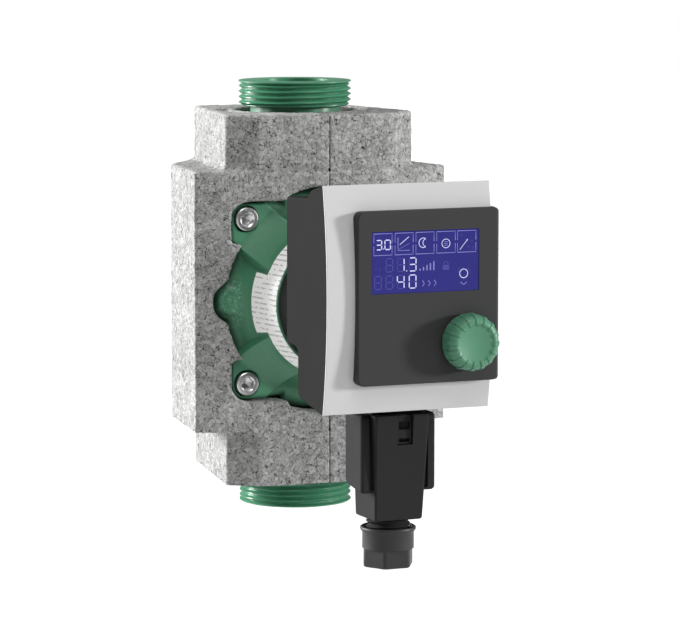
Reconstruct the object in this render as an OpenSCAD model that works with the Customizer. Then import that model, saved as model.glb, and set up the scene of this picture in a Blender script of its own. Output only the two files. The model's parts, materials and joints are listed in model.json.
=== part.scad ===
// Wet-rotor circulator pump: cast housing with two threaded ports, canned
// motor, electronics module with display and press-and-turn knob, pull-off
// power connector with a cable gland, and a two-part foam insulation shell.
//
// Frame: the origin is the centre of the lower port's end face, +Z runs up
// the pipe to the upper port, and the motor stands out along -Y.

/* [Ports] */
// Distance between the two port end faces
port_length = 180; // [150:1:220]
// Radius over the thread crests of each port (G 1 1/2)
thread_r = 23.9; // [21:0.1:28]
// Pitch of the port threads
thread_pitch = 2.309; // [1.5:0.001:2.5]
// Radius of the pipe neck behind each thread
neck_r = 19.1; // [17:0.1:20]
// Radius of the port bores
port_bore_r = 14; // [10:0.5:14]

/* [Motor] */
// Distance from the motor axis to each flange screw, sideways and upwards
screw_offset = 34.45; // [33:0.05:36]
// Distance from the pipe axis to the face that the motor bolts to
flange_d = 22; // [20:0.5:24]
// Radius of the motor shell at its root
shell_root_r = 34.2; // [33:0.1:35]
// Radius of the motor shell at its front
shell_nose_r = 28.5; // [28:0.1:29]
// Radius of the impeller
impeller_r = 30; // [24:0.5:30.5]
// Radius of the shaft
shaft_r = 4; // [3:0.1:4.5]

/* [Electronics module] */
// Width of the module
module_w = 71.8; // [66:0.1:90]
// Height of the module
module_h = 91; // [84:0.5:110]
// Height of the module's middle above the motor axis
module_rise = 9.2; // [6:0.1:12]
// Distance from the pipe axis to the front edge of the module base
base_front_d = 118; // [116:0.5:120]
// Bulge of the front cover at mid height
cover_bulge = 4.3; // [2:0.1:5]
// Distance from the pipe axis to the face of the control panel
panel_front_d = 125; // [124.5:0.1:128]
// Wall of the module's mouldings
module_wall = 2.2; // [1.6:0.1:2.6]

/* [Knob] */
// Radius of the knob at its foot
knob_r = 11.4; // [8:0.1:12]
// Length of the knob
knob_length = 9; // [8:0.1:12]
// Travel of the knob when it is pressed
press_travel = 0.7; // [0.3:0.1:0.8]
// Number of grip ribs
rib_count = 16; // [8:1:24]

/* [Connector] */
// Half width of the connector's front block at its top
plug_half_w = 11.9; // [11.7:0.1:13]
// Half width across the connector's side wings
wing_half_w = 16.3; // [15.5:0.1:20]
// Height of the connector body
plug_height = 43.2; // [40:0.1:48]
// Radius of the cable gland's thread
gland_r = 9; // [8.5:0.1:9.2]
// Radius of the cable entry
cable_bore_r = 4.3; // [3:0.1:5]

/* [Insulation] */
// Half width of the middle block at its front
mid_half_w = 56.8; // [54:0.1:66]
// Half height of the middle block
mid_half_h = 54.45; // [52:0.05:60]
// Half width of the end blocks at their front
end_half_w = 42.4; // [38:0.1:50]
// Distance from each port end face to the insulation
ins_end_gap = 12.3; // [11:0.1:16]
// Distance from the pipe axis to the back of the insulation
ins_back = 45; // [40:0.5:55]

/* [Hidden] */
$fn = 96;
slack = 0.05;          // radial slack of a screw, pin or sleeve in its hole
axis_z = port_length / 2;

// Threads: crests with a short cylindrical land, cut as closed rings
crest_count = 4;
crest_land = 0.5;
crest_first = 1.5;     // from the end face to the first crest's middle
thread_root_r = thread_r - 0.64 * thread_pitch;
collar_h = crest_first + crest_count * thread_pitch;

// Pump chamber
cavity_r = impeller_r + 2.5;
cavity_d0 = port_bore_r + 2;
seal_r = 1;
seal_ring_r = cavity_r + 2.8;
plate_t = 0.8;
plate_rim_r = seal_ring_r + 2.2;
eye_r = 13;
throat_r = 7;

// Flange
screw_r = 3;
screw_head_r = 5;
screw_head_h = 6;
screw_under = 5;       // flange metal under each screw head
lug_r = 6.6;
lug_face_d = flange_d + 9.5;
disc_r = 43.4;
cheek_r = 8.4;
cheek_x = 40;
brow_r = 46.8;
brow_half_w = 17.3;
arm_rise = 11;         // from the lug face up to where an arm meets the shell
screw_len = 12;        // thread in the pump housing
corners = [[-1, -1], [-1, 1], [1, -1], [1, 1]];

// Motor stack, as distances from the pipe axis
dish_d = flange_d + 8.6;
can_rim_d = dish_d + plate_t;
shoulder_d = can_rim_d + 0.6;
nose_d = flange_d + 29;
shell_end_d = nose_d + 23;
motor_end_d = shell_end_d + 2;
base_back_d = motor_end_d + 3.3;
bay_r = 24.2;          // stator bay inside the shell
spigot_r = shell_nose_r - 2.3;
can_r = 17.3;
can_t = 0.4;
rotor_r = 16.2;
bearing_r = 7;
front_bearing_d = can_rim_d + 0.1;
bearing_len = 5;
core_d0 = 41;
core_d1 = 60;
magnet_d0 = 38.2;
magnet_d1 = 62;
rear_bearing_d = 66;
can_end_d = rear_bearing_d + bearing_len + 1;
slot_count = 9;

// Module
half_w = module_w / 2;
mod_y0 = module_rise - module_h / 2;
mod_y1 = module_rise + module_h / 2;
rear_top_drop = 4.8;
rear_step_d = base_back_d + 23.7;
low_back_d = base_back_d + 11.8;
rear_floor_y = -12;
base_low_rise = 3.9;
neck_out_r = shell_nose_r - 0.5;
cover_r = (pow(module_h / 2, 2) + pow(cover_bulge, 2)) / (2 * cover_bulge);
cover_axis_d = base_front_d + cover_bulge - cover_r;
tie_r = 2;
tie_ring_r = 18;
tie_angles = [30, 150, 270];
lead_y = 21;

// Control panel, measured from the motor axis
panel_x0 = -24;
panel_x1 = half_w + 1.5;
panel_y0 = mod_y0 + 11.6;
panel_y1 = mod_y1 - 10.3;
panel_t = 2;
wrap_d = base_front_d - 8;
lcd_x0 = -18.2;
lcd_x1 = 28.4;
lcd_y0 = mod_y0 + 48;
lcd_y1 = mod_y1 - 18.3;
knob_x = 22.9;
knob_y = mod_y0 + 27.8;
knob_gap = 1.1;
board_d = 97;
board_t = 1.6;
panel_board_d = panel_front_d - 13;
plunger_r = 4.4;
stem_r = 3;
stem_floor_d = panel_board_d + board_t + 0.4;
post_x = 27;
post_ys = [mod_y0 + 14.3, mod_y1 - 10.7];

// Socket and connector, as heights from the motor axis
plug_d = 100.5;
plug_top = mod_y0 - 2.2;
plug_bottom = plug_top - plug_height;
plug_back_d = 90.4;
plug_face_top_d = 114.5;
plug_face_low_d = 111;
plug_low_half_w = 10.5;
wing_back_d = 93.2;
wing_wall = 1.3;
wing_groove_d = 106;
sock_half_w = 11;
sock_d0 = 93;
sock_d1 = 108;
sock_t = 1.5;
sock_low = plug_top - 5.5;
sock_high = mod_y0 + 8.3;
web_low = mod_y0 + 2.3;
seat_low = sock_low - 0.6;
pin_r = 1.1;
pin_xs = [-5.5, 0, 5.5];
latch_x = 1.5;
latch_half_w = 3.35;
latch_low = plug_top - 12.2;
latch_bar = 1;         // rims and middle bar of the tongue
latch_t = 1.2;
latch_d = 111.4;
gland_d = 100;
gland_low = plug_bottom - 10.3;
gland_bore_r = 7.1;
nut_top = plug_bottom - 3.7;
nut_flange_r = 11.3;
nut_body_r = 10.45;
nut_hex_r = 10.9;
nut_body_low = plug_bottom - 12.6;
nut_low = plug_bottom - 20.1;
nut_floor = gland_low - 2.4;
thrust_t = 1;

// Insulation
ins_gap = 0.6;         // round the motor flange
ins_clear = 0.3;       // round the housing
ins_seam_d = 38.9;
ins_mid_corner_d = 29.7;
ins_end_corner_d = 27.5;
ins_hole_r = thread_r + 0.4;
peg_r = 3;
peg_len = 7;
front_r = (pow(mid_half_w, 2) + pow(ins_seam_d - ins_mid_corner_d, 2))
    / (2 * (ins_seam_d - ins_mid_corner_d));

casting = [0.22, 0.42, 0.32];
steel = [0.72, 0.73, 0.74];
dark = [0.2, 0.2, 0.2];

// Turns a piece drawn about +Z so that it stands along the motor axis: its
// own z is then the distance in front of the pipe axis and its y is upwards.
module motor_axis() translate([0, 0, axis_z]) rotate([90, 0, 0]) children();

// Ring from depth d0 to d1 about the motor axis
module ring(r_out, r_in, d0, d1) {
    translate([0, 0, d0]) difference() {
        cylinder(r = r_out, h = d1 - d0);
        translate([0, 0, -1]) cylinder(r = r_in, h = d1 - d0 + 2);
    }
}

// Box between two corners
module block(a, b) translate(a) cube(b - a);

// Slab of the module: an outline in depth and height, over the width 2 * half
module slab(outline, half) {
    rotate([90, 0, 90])
        translate([0, 0, -half]) linear_extrude(2 * half) polygon([for (p = outline) [p[1], p[0]]]);
}

module at_screws() for (c = corners) translate([c[0] * screw_offset, c[1] * screw_offset, 0]) children();

// ---- Pump housing -------------------------------------------------------

// Half section of a threaded collar, end face at 0 and going down
module collar() {
    tops = [for (i = [0:crest_count - 1]) crest_first + i * thread_pitch];
    rotate_extrude() polygon(concat(
        [[port_bore_r + 2, 0], [thread_root_r, 0]],
        [for (c = tops) each [[thread_r, -(c - crest_land / 2)], [thread_r, -(c + crest_land / 2)],
            [thread_root_r, -(c + thread_pitch / 2)]]],
        [[port_bore_r + 2, -collar_h - 1.2]]));
}

module pump_housing() color(casting) difference() {
    union() {
        cylinder(r = neck_r, h = port_length);
        translate([0, 0, port_length]) collar();
        mirror([0, 0, 1]) collar();
        motor_axis() {
            translate([0, 0, 4]) cylinder(r = plate_rim_r + 2, h = flange_d - 4);
            translate([0, 0, -12]) cylinder(r = 30, h = 17);
            translate([0, 0, -20]) cylinder(r = 21, h = 9);
            translate([0, 0, 8]) at_screws() cylinder(r = lug_r, h = flange_d - 8);
            for (a = [45:90:315]) rotate([0, 0, a])
                block([cavity_r + 2, -5, 10], [screw_offset * sqrt(2), 5, flange_d - 2]);
        }
    }
    translate([0, 0, -3]) cylinder(r = port_bore_r, h = axis_z + eye_r + 4.5);
    translate([0, 0, axis_z + 36]) cylinder(r = port_bore_r, h = axis_z);
    translate([0, throat_r - cavity_d0 - 3, axis_z + 20]) cylinder(r = throat_r, h = 26);
    motor_axis() {
        translate([0, 0, cavity_d0]) cylinder(r = cavity_r, h = flange_d);
        cylinder(r = eye_r, h = cavity_d0 + 1);
        ring(seal_ring_r + seal_r, seal_ring_r - seal_r, flange_d - 2 * seal_r, flange_d + 1);
        translate([0, 0, flange_d - screw_len - 1]) at_screws()
            cylinder(r = screw_r + slack, h = screw_len + 2);
    }
}

module housing_seal() color([0.1, 0.1, 0.1]) motor_axis()
    translate([0, 0, flange_d - seal_r]) rotate_extrude()
        translate([seal_ring_r, 0]) circle(r = seal_r - 0.02, $fn = 32);

// Lines the eye from just outside the lower bore up to the impeller chamber
module wear_ring() color(steel) motor_axis()
    ring(eye_r - slack, eye_r - 0.6, port_bore_r + 0.3, cavity_d0);

// ---- Rotor ---------------------------------------------------------------

hub_r = 7;
eye_neck_r = eye_r - 0.9;
blade_count = 6;
blade_sweep = 70;
imp_d0 = cavity_d0 + 1;
imp_d1 = dish_d - 1;

// One backward-curved blade, swept by a fixed angle from hub to rim
module blade() {
    steps = 10;
    radii = [for (i = [0:steps]) hub_r - 0.5 + (impeller_r - 1 - hub_r) * i / steps];
    turn = [for (i = [0:steps]) blade_sweep * i / steps];
    polygon(concat(
        [for (i = [0:steps]) [radii[i] * cos(turn[i]), radii[i] * sin(turn[i])]],
        [for (i = [steps:-1:0]) [radii[i] * cos(turn[i] + 140 / (radii[i] + 8)),
            radii[i] * sin(turn[i] + 140 / (radii[i] + 8))]]));
}

module impeller() color([0.75, 0.7, 0.55]) motor_axis() difference() {
    union() {
        ring(impeller_r, eye_neck_r - 1.4, imp_d0, imp_d0 + 1.4);
        ring(eye_neck_r, eye_neck_r - 1.4, imp_d0 - 3, imp_d0 + 1);
        translate([0, 0, imp_d1 - 1.6]) cylinder(r = impeller_r, h = 1.6);
        translate([0, 0, imp_d0 + 2]) cylinder(r = hub_r, h = imp_d1 - imp_d0 - 2);
        for (i = [0:blade_count - 1]) rotate([0, 0, i * 360 / blade_count])
            translate([0, 0, imp_d0 + 1]) linear_extrude(imp_d1 - imp_d0 - 2) blade();
    }
    translate([0, 0, imp_d0]) cylinder(r = shaft_r + 0.02, h = 20);
}

module shaft() color(steel) motor_axis()
    translate([0, 0, imp_d0 + 1]) cylinder(r = shaft_r, h = rear_bearing_d + bearing_len - imp_d0 - 1.2);

module rotor_magnet() color([0.25, 0.25, 0.27]) motor_axis()
    ring(rotor_r, shaft_r + 0.02, magnet_d0, magnet_d1);

module rotor_sleeve() color(steel) motor_axis()
    ring(rotor_r + 0.4, rotor_r + slack, magnet_d0, magnet_d1);

module thrust_washer() color([0.3, 0.3, 0.3]) motor_axis()
    ring(bearing_r - 0.5, shaft_r + 0.02, front_bearing_d + bearing_len + 0.1, magnet_d0);

module front_bearing() color([0.16, 0.16, 0.17]) motor_axis()
    ring(bearing_r - slack, shaft_r + slack, front_bearing_d, front_bearing_d + bearing_len);

module rear_bearing() color([0.16, 0.16, 0.17]) motor_axis()
    ring(bearing_r - slack, shaft_r + slack, rear_bearing_d, rear_bearing_d + bearing_len);

// ---- Motor ---------------------------------------------------------------

// Dished steel plate: its rim is clamped by the flange, its hub holds the bearing
module bearing_plate() color(steel) motor_axis() {
    ring(plate_rim_r, cavity_r - 0.9, flange_d, flange_d + plate_t);
    ring(cavity_r - 0.1, cavity_r - 0.9, flange_d, can_rim_d);
    ring(cavity_r - 0.1, bearing_r - 0.6, dish_d, can_rim_d);
    ring(bearing_r + 0.8, bearing_r, dish_d, front_bearing_d + bearing_len);
}

module rotor_can() color(steel) motor_axis() {
    ring(cavity_r - 0.3, can_r - can_t, can_rim_d, shoulder_d);
    ring(can_r, can_r - can_t, can_rim_d, rear_bearing_d - 2);
    ring(can_r, bearing_r, rear_bearing_d - 2.4, rear_bearing_d - 2);
    ring(bearing_r + can_t, bearing_r, rear_bearing_d - 2.4, can_end_d);
    translate([0, 0, can_end_d - can_t]) cylinder(r = bearing_r + can_t, h = can_t);
}

// Laminated ring with inward teeth, parted by slots that narrow to the bore
module stator_core() color([0.45, 0.46, 0.48]) motor_axis() difference() {
    ring(bay_r - slack, can_r + 0.15, core_d0, core_d1);
    for (i = [0:slot_count - 1]) rotate([0, 0, (i + 0.5) * 360 / slot_count])
        translate([0, 0, core_d0 - 1]) linear_extrude(core_d1 - core_d0 + 2)
            polygon([[can_r - 1, -1.2], [can_r + 1.7, -1.2], [can_r + 1.7, -4], [bay_r - 2.4, -5],
                [bay_r - 2.4, 5], [can_r + 1.7, 4], [can_r + 1.7, 1.2], [can_r - 1, 1.2]]);
}

// Copper bundles beyond both ends of the teeth
module stator_windings() color([0.72, 0.42, 0.22]) motor_axis()
    for (i = [0:slot_count - 1]) rotate([0, 0, i * 360 / slot_count])
        for (d = [core_d0 - 3.4, core_d1]) intersection() {
            ring(bay_r - 0.6, can_r + 0.6, d, d + 3.4);
            block([can_r, -5, d], [bay_r, 5, d + 3.4]);
        }

module motor_leads() color([0.8, 0.5, 0.3]) motor_axis()
    for (x = [-5, 0, 5]) translate([x, lead_y, core_d1 + 3.4])
        cylinder(r = 0.8, h = board_d - core_d1 - 3.4);

// Outline of the motor flange, grown all round
module flange_outline(grow) {
    circle(r = disc_r + grow);
    intersection() {
        circle(r = brow_r + grow);
        square([2 * (brow_half_w + grow), 2 * (brow_r + 5)], center = true);
    }
    for (s = [-1, 1]) translate([s * cheek_x, 0]) circle(r = cheek_r + grow);
    for (c = corners) scale([c[0], c[1]]) {
        translate([screw_offset, screw_offset]) circle(r = lug_r + grow);
        translate([20, 25 - grow]) square([screw_offset + lug_r - 20 + grow, screw_offset - 25 + grow]);
        translate([12, 20]) square([screw_offset - 12, screw_offset + lug_r - 20 + grow]);
    }
}

module motor_housing() color(casting) motor_axis() difference() {
    union() {
        translate([0, 0, flange_d]) linear_extrude(4.5) flange_outline(0);
        rotate_extrude() polygon([[20, flange_d], [disc_r, flange_d + 4], [disc_r, flange_d + 5],
            [shell_root_r + 2, flange_d + 11], [shell_root_r, flange_d + 13],
            [shell_nose_r, nose_d], [20, nose_d]]);
        translate([0, 0, nose_d - 0.1]) cylinder(r = spigot_r, h = motor_end_d - nose_d + 0.1);
        for (a = tie_angles) rotate([0, 0, a]) translate([tie_ring_r, 0, motor_end_d - 0.1])
            cylinder(r = 4, h = base_back_d - motor_end_d + 0.1, $fn = 48);
        intersection() {
            translate([0, 0, flange_d]) linear_extrude(30) flange_outline(0);
            for (a = [45:90:315]) rotate([0, 0, a]) rotate([90, 0, 0])
                translate([0, 0, -12]) linear_extrude(24)
                    polygon([[20, flange_d], [60, flange_d], [60, lug_face_d], [44, lug_face_d],
                        [shell_nose_r + 2, lug_face_d + arm_rise], [20, lug_face_d + arm_rise]]);
        }
    }
    translate([0, 0, flange_d - 1]) cylinder(r = plate_rim_r + 0.1, h = plate_t + 1);
    translate([0, 0, flange_d - 1]) cylinder(r = cavity_r, h = shoulder_d - flange_d + 1);
    translate([0, 0, flange_d]) cylinder(r = bay_r, h = shell_end_d - flange_d);
    translate([0, 0, flange_d - 1]) at_screws() cylinder(r = screw_r + slack, h = 20);
    translate([0, 0, flange_d + screw_under]) at_screws() cylinder(r = screw_head_r + 0.6, h = 20);
    for (a = tie_angles) rotate([0, 0, a]) translate([tie_ring_r, 0, shell_end_d - 1])
        cylinder(r = tie_r + slack, h = 20);
    block([-8, lead_y - 2.5, shell_end_d - 1], [8, lead_y + 2.5, motor_end_d + 1]);
}

// Blank label on the left of the shell: a wide part between the arms, and a
// narrow band that runs on in front of them
module type_label() color([0.92, 0.92, 0.9]) motor_axis() {
    taper = (shell_root_r - shell_nose_r) / (nose_d - flange_d - 13);
    band_d = lug_face_d + arm_rise + 0.1;
    for (part = [[22, flange_d + 14, band_d], [60, band_d, nose_d - 0.5]]) {
        r1 = shell_root_r - taper * (part[1] - flange_d - 13) + slack;
        r2 = shell_root_r - taper * (part[2] - flange_d - 13) + slack;
        rotate([0, 0, 180 - part[0]]) rotate_extrude(angle = 2 * part[0])
            polygon([[r1, part[1]], [r1 + 0.2, part[1]], [r2 + 0.2, part[2]], [r2, part[2]]]);
    }
}

module flange_screws() color(steel) motor_axis() at_screws() difference() {
    union() {
        translate([0, 0, flange_d + screw_under]) cylinder(r = screw_head_r, h = screw_head_h);
        translate([0, 0, flange_d - screw_len]) cylinder(r = screw_r, h = screw_len + screw_under);
    }
    translate([0, 0, flange_d + screw_under + 3]) cylinder(r = 2.9, h = 10, $fn = 6);
}

// ---- Module base and boards ------------------------------------------------

// Section of the module base in depth and height, inset by a wall
module base_slab(inset) slab([
    [base_back_d + inset, mod_y1 - rear_top_drop - inset],
    [rear_step_d + inset, mod_y1 - rear_top_drop - inset],
    [rear_step_d + inset, mod_y1 - inset],
    [base_front_d + (inset > 0 ? 5 : 0), mod_y1 - inset],
    [base_front_d + (inset > 0 ? 5 : 0), mod_y0 + inset],
    [low_back_d + inset, mod_y0 + base_low_rise + inset],
    [low_back_d + inset, rear_floor_y + inset],
    [base_back_d + inset, rear_floor_y + inset]], half_w - inset);

module module_base() color(dark) motor_axis() difference() {
    union() {
        difference() {
            union() {
                base_slab(0);
                ring(neck_out_r, 1, nose_d + 0.4, low_back_d + 1);
            }
            base_slab(module_wall);
            translate([0, 0, base_back_d + module_wall])
                cylinder(r = neck_out_r - module_wall, h = base_front_d - base_back_d);
        }
        for (x = [-post_x, post_x], y = post_ys) translate([x, y, 0])
            translate([0, 0, y > 0 ? base_back_d + 1 : low_back_d + 1])
                cylinder(r = 2.6, h = board_d - (y > 0 ? base_back_d : low_back_d) - 1, $fn = 48);
    }
    translate([0, 0, nose_d - 1]) cylinder(r = spigot_r + 0.1, h = base_back_d - nose_d + 1);
    for (a = tie_angles) rotate([0, 0, a]) translate([tie_ring_r, 0, base_back_d - 1])
        cylinder(r = tie_r + slack, h = 9);
    block([-8, lead_y - 2.5, base_back_d - 1], [8, lead_y + 2.5, base_back_d + 4]);
    for (x = [-post_x, post_x], y = post_ys) translate([x, y, board_d - 3.5])
        cylinder(r = 1.25, h = 9);
    block([-sock_half_w - 0.1, mod_y0 - 5, sock_d0 - 0.1], [sock_half_w + 0.1, mod_y0 + 9, sock_d1 + 0.1]);
}

module module_screws() color(steel) motor_axis() for (a = tie_angles) rotate([0, 0, a])
    translate([tie_ring_r, 0, base_back_d + module_wall]) {
        cylinder(r = 3.4, h = 2.2, $fn = 48);
        translate([0, 0, shell_end_d - base_back_d - module_wall])
            cylinder(r = tie_r, h = base_back_d + module_wall - shell_end_d + 0.1, $fn = 48);
    }

// Flat ring between the motor's step and the neck of the module
module neck_seal() color([0.12, 0.12, 0.12]) motor_axis()
    ring(neck_out_r - 0.2, spigot_r + slack, nose_d, nose_d + 0.4);

module circuit_board() color([0.1, 0.35, 0.2]) motor_axis() difference() {
    block([-half_w + 5, mod_y0 + 10.5, board_d],
        [half_w - 5, mod_y1 - rear_top_drop - module_wall - 1, board_d + board_t]);
    for (x = [-post_x, post_x], y = post_ys) translate([x, y, board_d - 1]) cylinder(r = 1.3, h = 4);
}

// Capacitor, choke, transformer and relay on the board's front
module board_components() color([0.3, 0.3, 0.34]) motor_axis() translate([0, 0, board_d + board_t]) {
    translate([-17, 34, 0]) cylinder(r = 6.5, h = 11);
    translate([-17, 12, 0]) ring(8, 3.5, 0, 6);
    block([-4, 18, 0], [14, 36, 9]);
    block([-20, -14, 0], [-8, 0, 8]);
    block([0, -12, 0], [12, 10, 7]);
}

module board_screws() color(steel) motor_axis()
    for (x = [-post_x, post_x], y = post_ys) translate([x, y, board_d]) {
        translate([0, 0, board_t]) cylinder(r = 2.4, h = 1.5, $fn = 48);
        translate([0, 0, -3.5]) cylinder(r = 1.2, h = 3.5 + board_t + 0.1, $fn = 48);
    }

module board_spacers() color([0.85, 0.85, 0.8]) motor_axis()
    for (x = [-post_x, post_x], y = [post_ys[0] + 8, post_ys[1] - 8])
        translate([x, y, board_d + board_t])
            cylinder(r = 2.2, h = panel_board_d - board_d - board_t, $fn = 48);

module display_board() color([0.1, 0.35, 0.2]) motor_axis()
    block([-half_w + 4, mod_y0 + 17, panel_board_d], [half_w - 4, mod_y1 - 14, panel_board_d + board_t]);

module lcd_module() color([0.2, 0.2, 0.35]) motor_axis()
    block([lcd_x0 - 1.8, lcd_y0 - 1.8, panel_board_d + board_t],
        [lcd_x1 + 1.8, lcd_y1 + 1.8, panel_front_d - panel_t - 0.1]);

module lcd_window() color([0.17, 0.17, 0.5]) motor_axis()
    block([lcd_x0, lcd_y0, panel_front_d - panel_t], [lcd_x1, lcd_y1, panel_front_d - 0.2]);

// ---- Cover, panel and knob -------------------------------------------------

// Convex front body of the module, its face a cylinder about a cross axis
module cover_body(inset) intersection() {
    block([-half_w + inset, mod_y0 + inset, base_front_d - 4],
        [half_w - inset, mod_y1 - inset, base_front_d + 20]);
    translate([0, module_rise, cover_axis_d]) rotate([0, 90, 0])
        cylinder(r = cover_r - inset, h = module_w + 10, center = true, $fn = 720);
}

module module_cover() color([0.8, 0.8, 0.8]) motor_axis() difference() {
    cover_body(0);
    cover_body(module_wall);
    translate([0, 0, base_front_d - 10]) linear_extrude(10)
        square([2 * module_w, 4 * module_h], center = true);
    block([panel_x0 + 3.2, panel_y0 + 3.2, base_front_d - 1],
        [half_w - 3.2, panel_y1 - 3.2, panel_front_d + 1]);
}

module control_panel() color([0.25, 0.25, 0.25]) motor_axis() difference() {
    block([panel_x0, panel_y0, wrap_d], [panel_x1, panel_y1, panel_front_d]);
    block([panel_x0 + 3.3, panel_y0 + 3.3, wrap_d],
        [half_w - 3.3, panel_y1 - 3.3, panel_front_d - panel_t]);
    block([panel_x0 - 1, panel_y0 - 1, wrap_d - 1], [half_w + 0.1, panel_y1 + 1, base_front_d]);
    intersection() {
        block([-module_w, -module_h, base_front_d - 1], [half_w + 0.1, module_h, panel_front_d + 1]);
        translate([0, module_rise, cover_axis_d]) rotate([0, 90, 0])
            cylinder(r = cover_r + 0.1, h = 3 * module_w, center = true, $fn = 720);
    }
    block([lcd_x0 - slack, lcd_y0 - slack, panel_front_d - 2 * panel_t],
        [lcd_x1 + slack, lcd_y1 + slack, panel_front_d + 1]);
    translate([knob_x, knob_y, 0]) cylinder(r = plunger_r + 0.3, h = panel_front_d + 1);
}

module at_knob() motor_axis() translate([knob_x, knob_y, 0]) children();

module encoder_body() color([0.35, 0.35, 0.38]) at_knob() difference() {
    block([-6, -6, panel_board_d + board_t], [6, 6, panel_board_d + board_t + 6]);
    translate([0, 0, stem_floor_d]) cylinder(r = plunger_r + slack, h = 10);
}

module switch_dome() color(steel) at_knob() translate([0, 0, stem_floor_d]) cylinder(r = 3, h = 0.2);

// Sleeve that slides in the encoder and carries the turning stem
module press_plunger() color([0.85, 0.85, 0.82]) at_knob()
    translate([0, 0, stem_floor_d + 0.3 + press_travel]) difference() {
        cylinder(r = plunger_r, h = 9);
        translate([0, 0, 0.6]) cylinder(r = stem_r + slack, h = 10);
    }

module encoder_shaft() color(steel) at_knob() translate([0, 0, stem_floor_d + 0.9 + press_travel])
    cylinder(r = stem_r, h = panel_front_d + knob_gap + knob_length - 3 - stem_floor_d - 0.9 - press_travel);

module knob() color([0.34, 0.56, 0.46]) at_knob() translate([0, 0, panel_front_d + knob_gap]) difference() {
    union() {
        rotate_extrude() polygon([[0, 0], [knob_r, 0], [knob_r, 1], [knob_r - 0.7, knob_length - 3],
            [knob_r - 2.2, knob_length - 0.6], [knob_r - 3.2, knob_length],
            [knob_r - 4.6, knob_length - 0.5], [0, knob_length - 0.5]]);
        for (i = [0:rib_count - 1]) rotate([0, 0, i * 360 / rib_count])
            block([knob_r - 1.5, -0.3, 0.5], [knob_r + 0.25, 0.3, knob_length - 3.5]);
    }
    translate([0, 0, -1]) cylinder(r = stem_r + 0.02, h = knob_length - 2);
    ring(knob_r - 1.8, stem_r + 2, -1, knob_length - 4);
}

// ---- Socket and connector --------------------------------------------------

// Places pieces drawn with z upwards from the motor axis and y = depth
module plug_frame() translate([0, 0, axis_z]) mirror([0, 1, 0]) children();

module power_socket() color([0.12, 0.12, 0.12]) plug_frame() difference() {
    block([-sock_half_w, sock_d0, sock_low], [sock_half_w, sock_d1, sock_high]);
    block([-sock_half_w + sock_t, sock_d0 + sock_t, sock_low - 1],
        [sock_half_w - sock_t, sock_d1 - sock_t, web_low]);
    for (x = pin_xs) translate([x, plug_d, sock_low]) cylinder(r = pin_r + slack, h = 30);
}

module socket_pins() color([0.75, 0.65, 0.4]) plug_frame() for (x = pin_xs)
    translate([x, plug_d, sock_low + 1]) cylinder(r = pin_r, h = sock_high - sock_low, $fn = 48);

// Outer block of the connector: tapers down in width and on its face
module plug_block() intersection() {
    rotate([90, 0, 90]) translate([0, 0, -30]) linear_extrude(60)
        polygon([[plug_back_d, plug_bottom], [plug_face_low_d, plug_bottom],
            [plug_face_top_d, plug_top], [plug_back_d, plug_top]]);
    translate([0, 130, 0]) rotate([90, 0, 0]) linear_extrude(60)
        polygon([[-plug_low_half_w, plug_bottom], [plug_low_half_w, plug_bottom],
            [plug_half_w, plug_top], [-plug_half_w, plug_top]]);
}

// Ribs down both sides of the block, each a wall with a channel beside the block
module plug_wings() difference() {
    rotate([90, 0, 90]) translate([0, 0, -wing_half_w]) linear_extrude(2 * wing_half_w)
        polygon([[wing_back_d, plug_bottom + 13.7], [110.6, plug_bottom + 11.2],
            [110.6, plug_top], [wing_back_d, plug_top]]);
    for (s = [-1, 1]) translate([s * wing_half_w / 2, 0, 0])
        block([-wing_half_w / 2 + wing_wall, wing_groove_d, plug_bottom + 13],
            [wing_half_w / 2 - wing_wall, 120, plug_top + 1]);
}

module connector_body() color([0.22, 0.22, 0.22]) plug_frame() difference() {
    union() {
        plug_block();
        plug_wings();
        translate([0, gland_d, gland_low]) {
            cylinder(r = gland_r - 0.7, h = plug_bottom - gland_low + 1);
            for (i = [0:4]) translate([0, 0, 0.4 + i * 2.3]) cylinder(r = gland_r, h = 0.8);
        }
    }
    block([-sock_half_w - 0.3, sock_d0 - 0.4, seat_low], [sock_half_w + 0.3, sock_d1 + 0.4, plug_top + 1]);
    block([-7.9, sock_d0 + 1, plug_bottom + 2], [7.9, sock_d1 - 1, seat_low - 2]);
    for (x = pin_xs) translate([x, plug_d, seat_low - 3]) cylinder(r = 1.7, h = 5);
    translate([0, gland_d, gland_low - 1]) cylinder(r = gland_bore_r, h = plug_bottom - gland_low + 4);
    block([latch_x - latch_half_w, latch_d - 0.4, latch_low], [latch_x + latch_half_w, 120, plug_top + 1]);
}

// Block with the three sockets, standing inside the power socket
module contact_carrier() color([0.45, 0.45, 0.45]) plug_frame() difference() {
    block([-sock_half_w + sock_t + 0.3, sock_d0 + sock_t + 0.3, seat_low],
        [sock_half_w - sock_t - 0.3, sock_d1 - sock_t - 0.3, web_low - 1]);
    for (x = pin_xs) translate([x, plug_d, seat_low - 1]) cylinder(r = 1.65, h = 30);
}

module connector_contacts() color([0.75, 0.65, 0.4]) plug_frame() for (x = pin_xs)
    translate([x, plug_d, seat_low - 1.5]) difference() {
        cylinder(r = 1.6, h = web_low - seat_low, $fn = 48);
        translate([0, 0, 1]) cylinder(r = pin_r + 0.1, h = 30, $fn = 48);
    }

module connector_seal() color([0.6, 0.25, 0.2]) plug_frame() difference() {
    block([-sock_half_w - 0.2, sock_d0 - 0.3, seat_low],
        [sock_half_w + 0.2, sock_d1 + 0.3, sock_low - 0.05]);
    block([-sock_half_w + sock_t + 0.2, sock_d0 + sock_t + 0.2, seat_low - 1],
        [sock_half_w - sock_t - 0.2, sock_d1 - sock_t - 0.2, seat_low + 5]);
}

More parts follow.
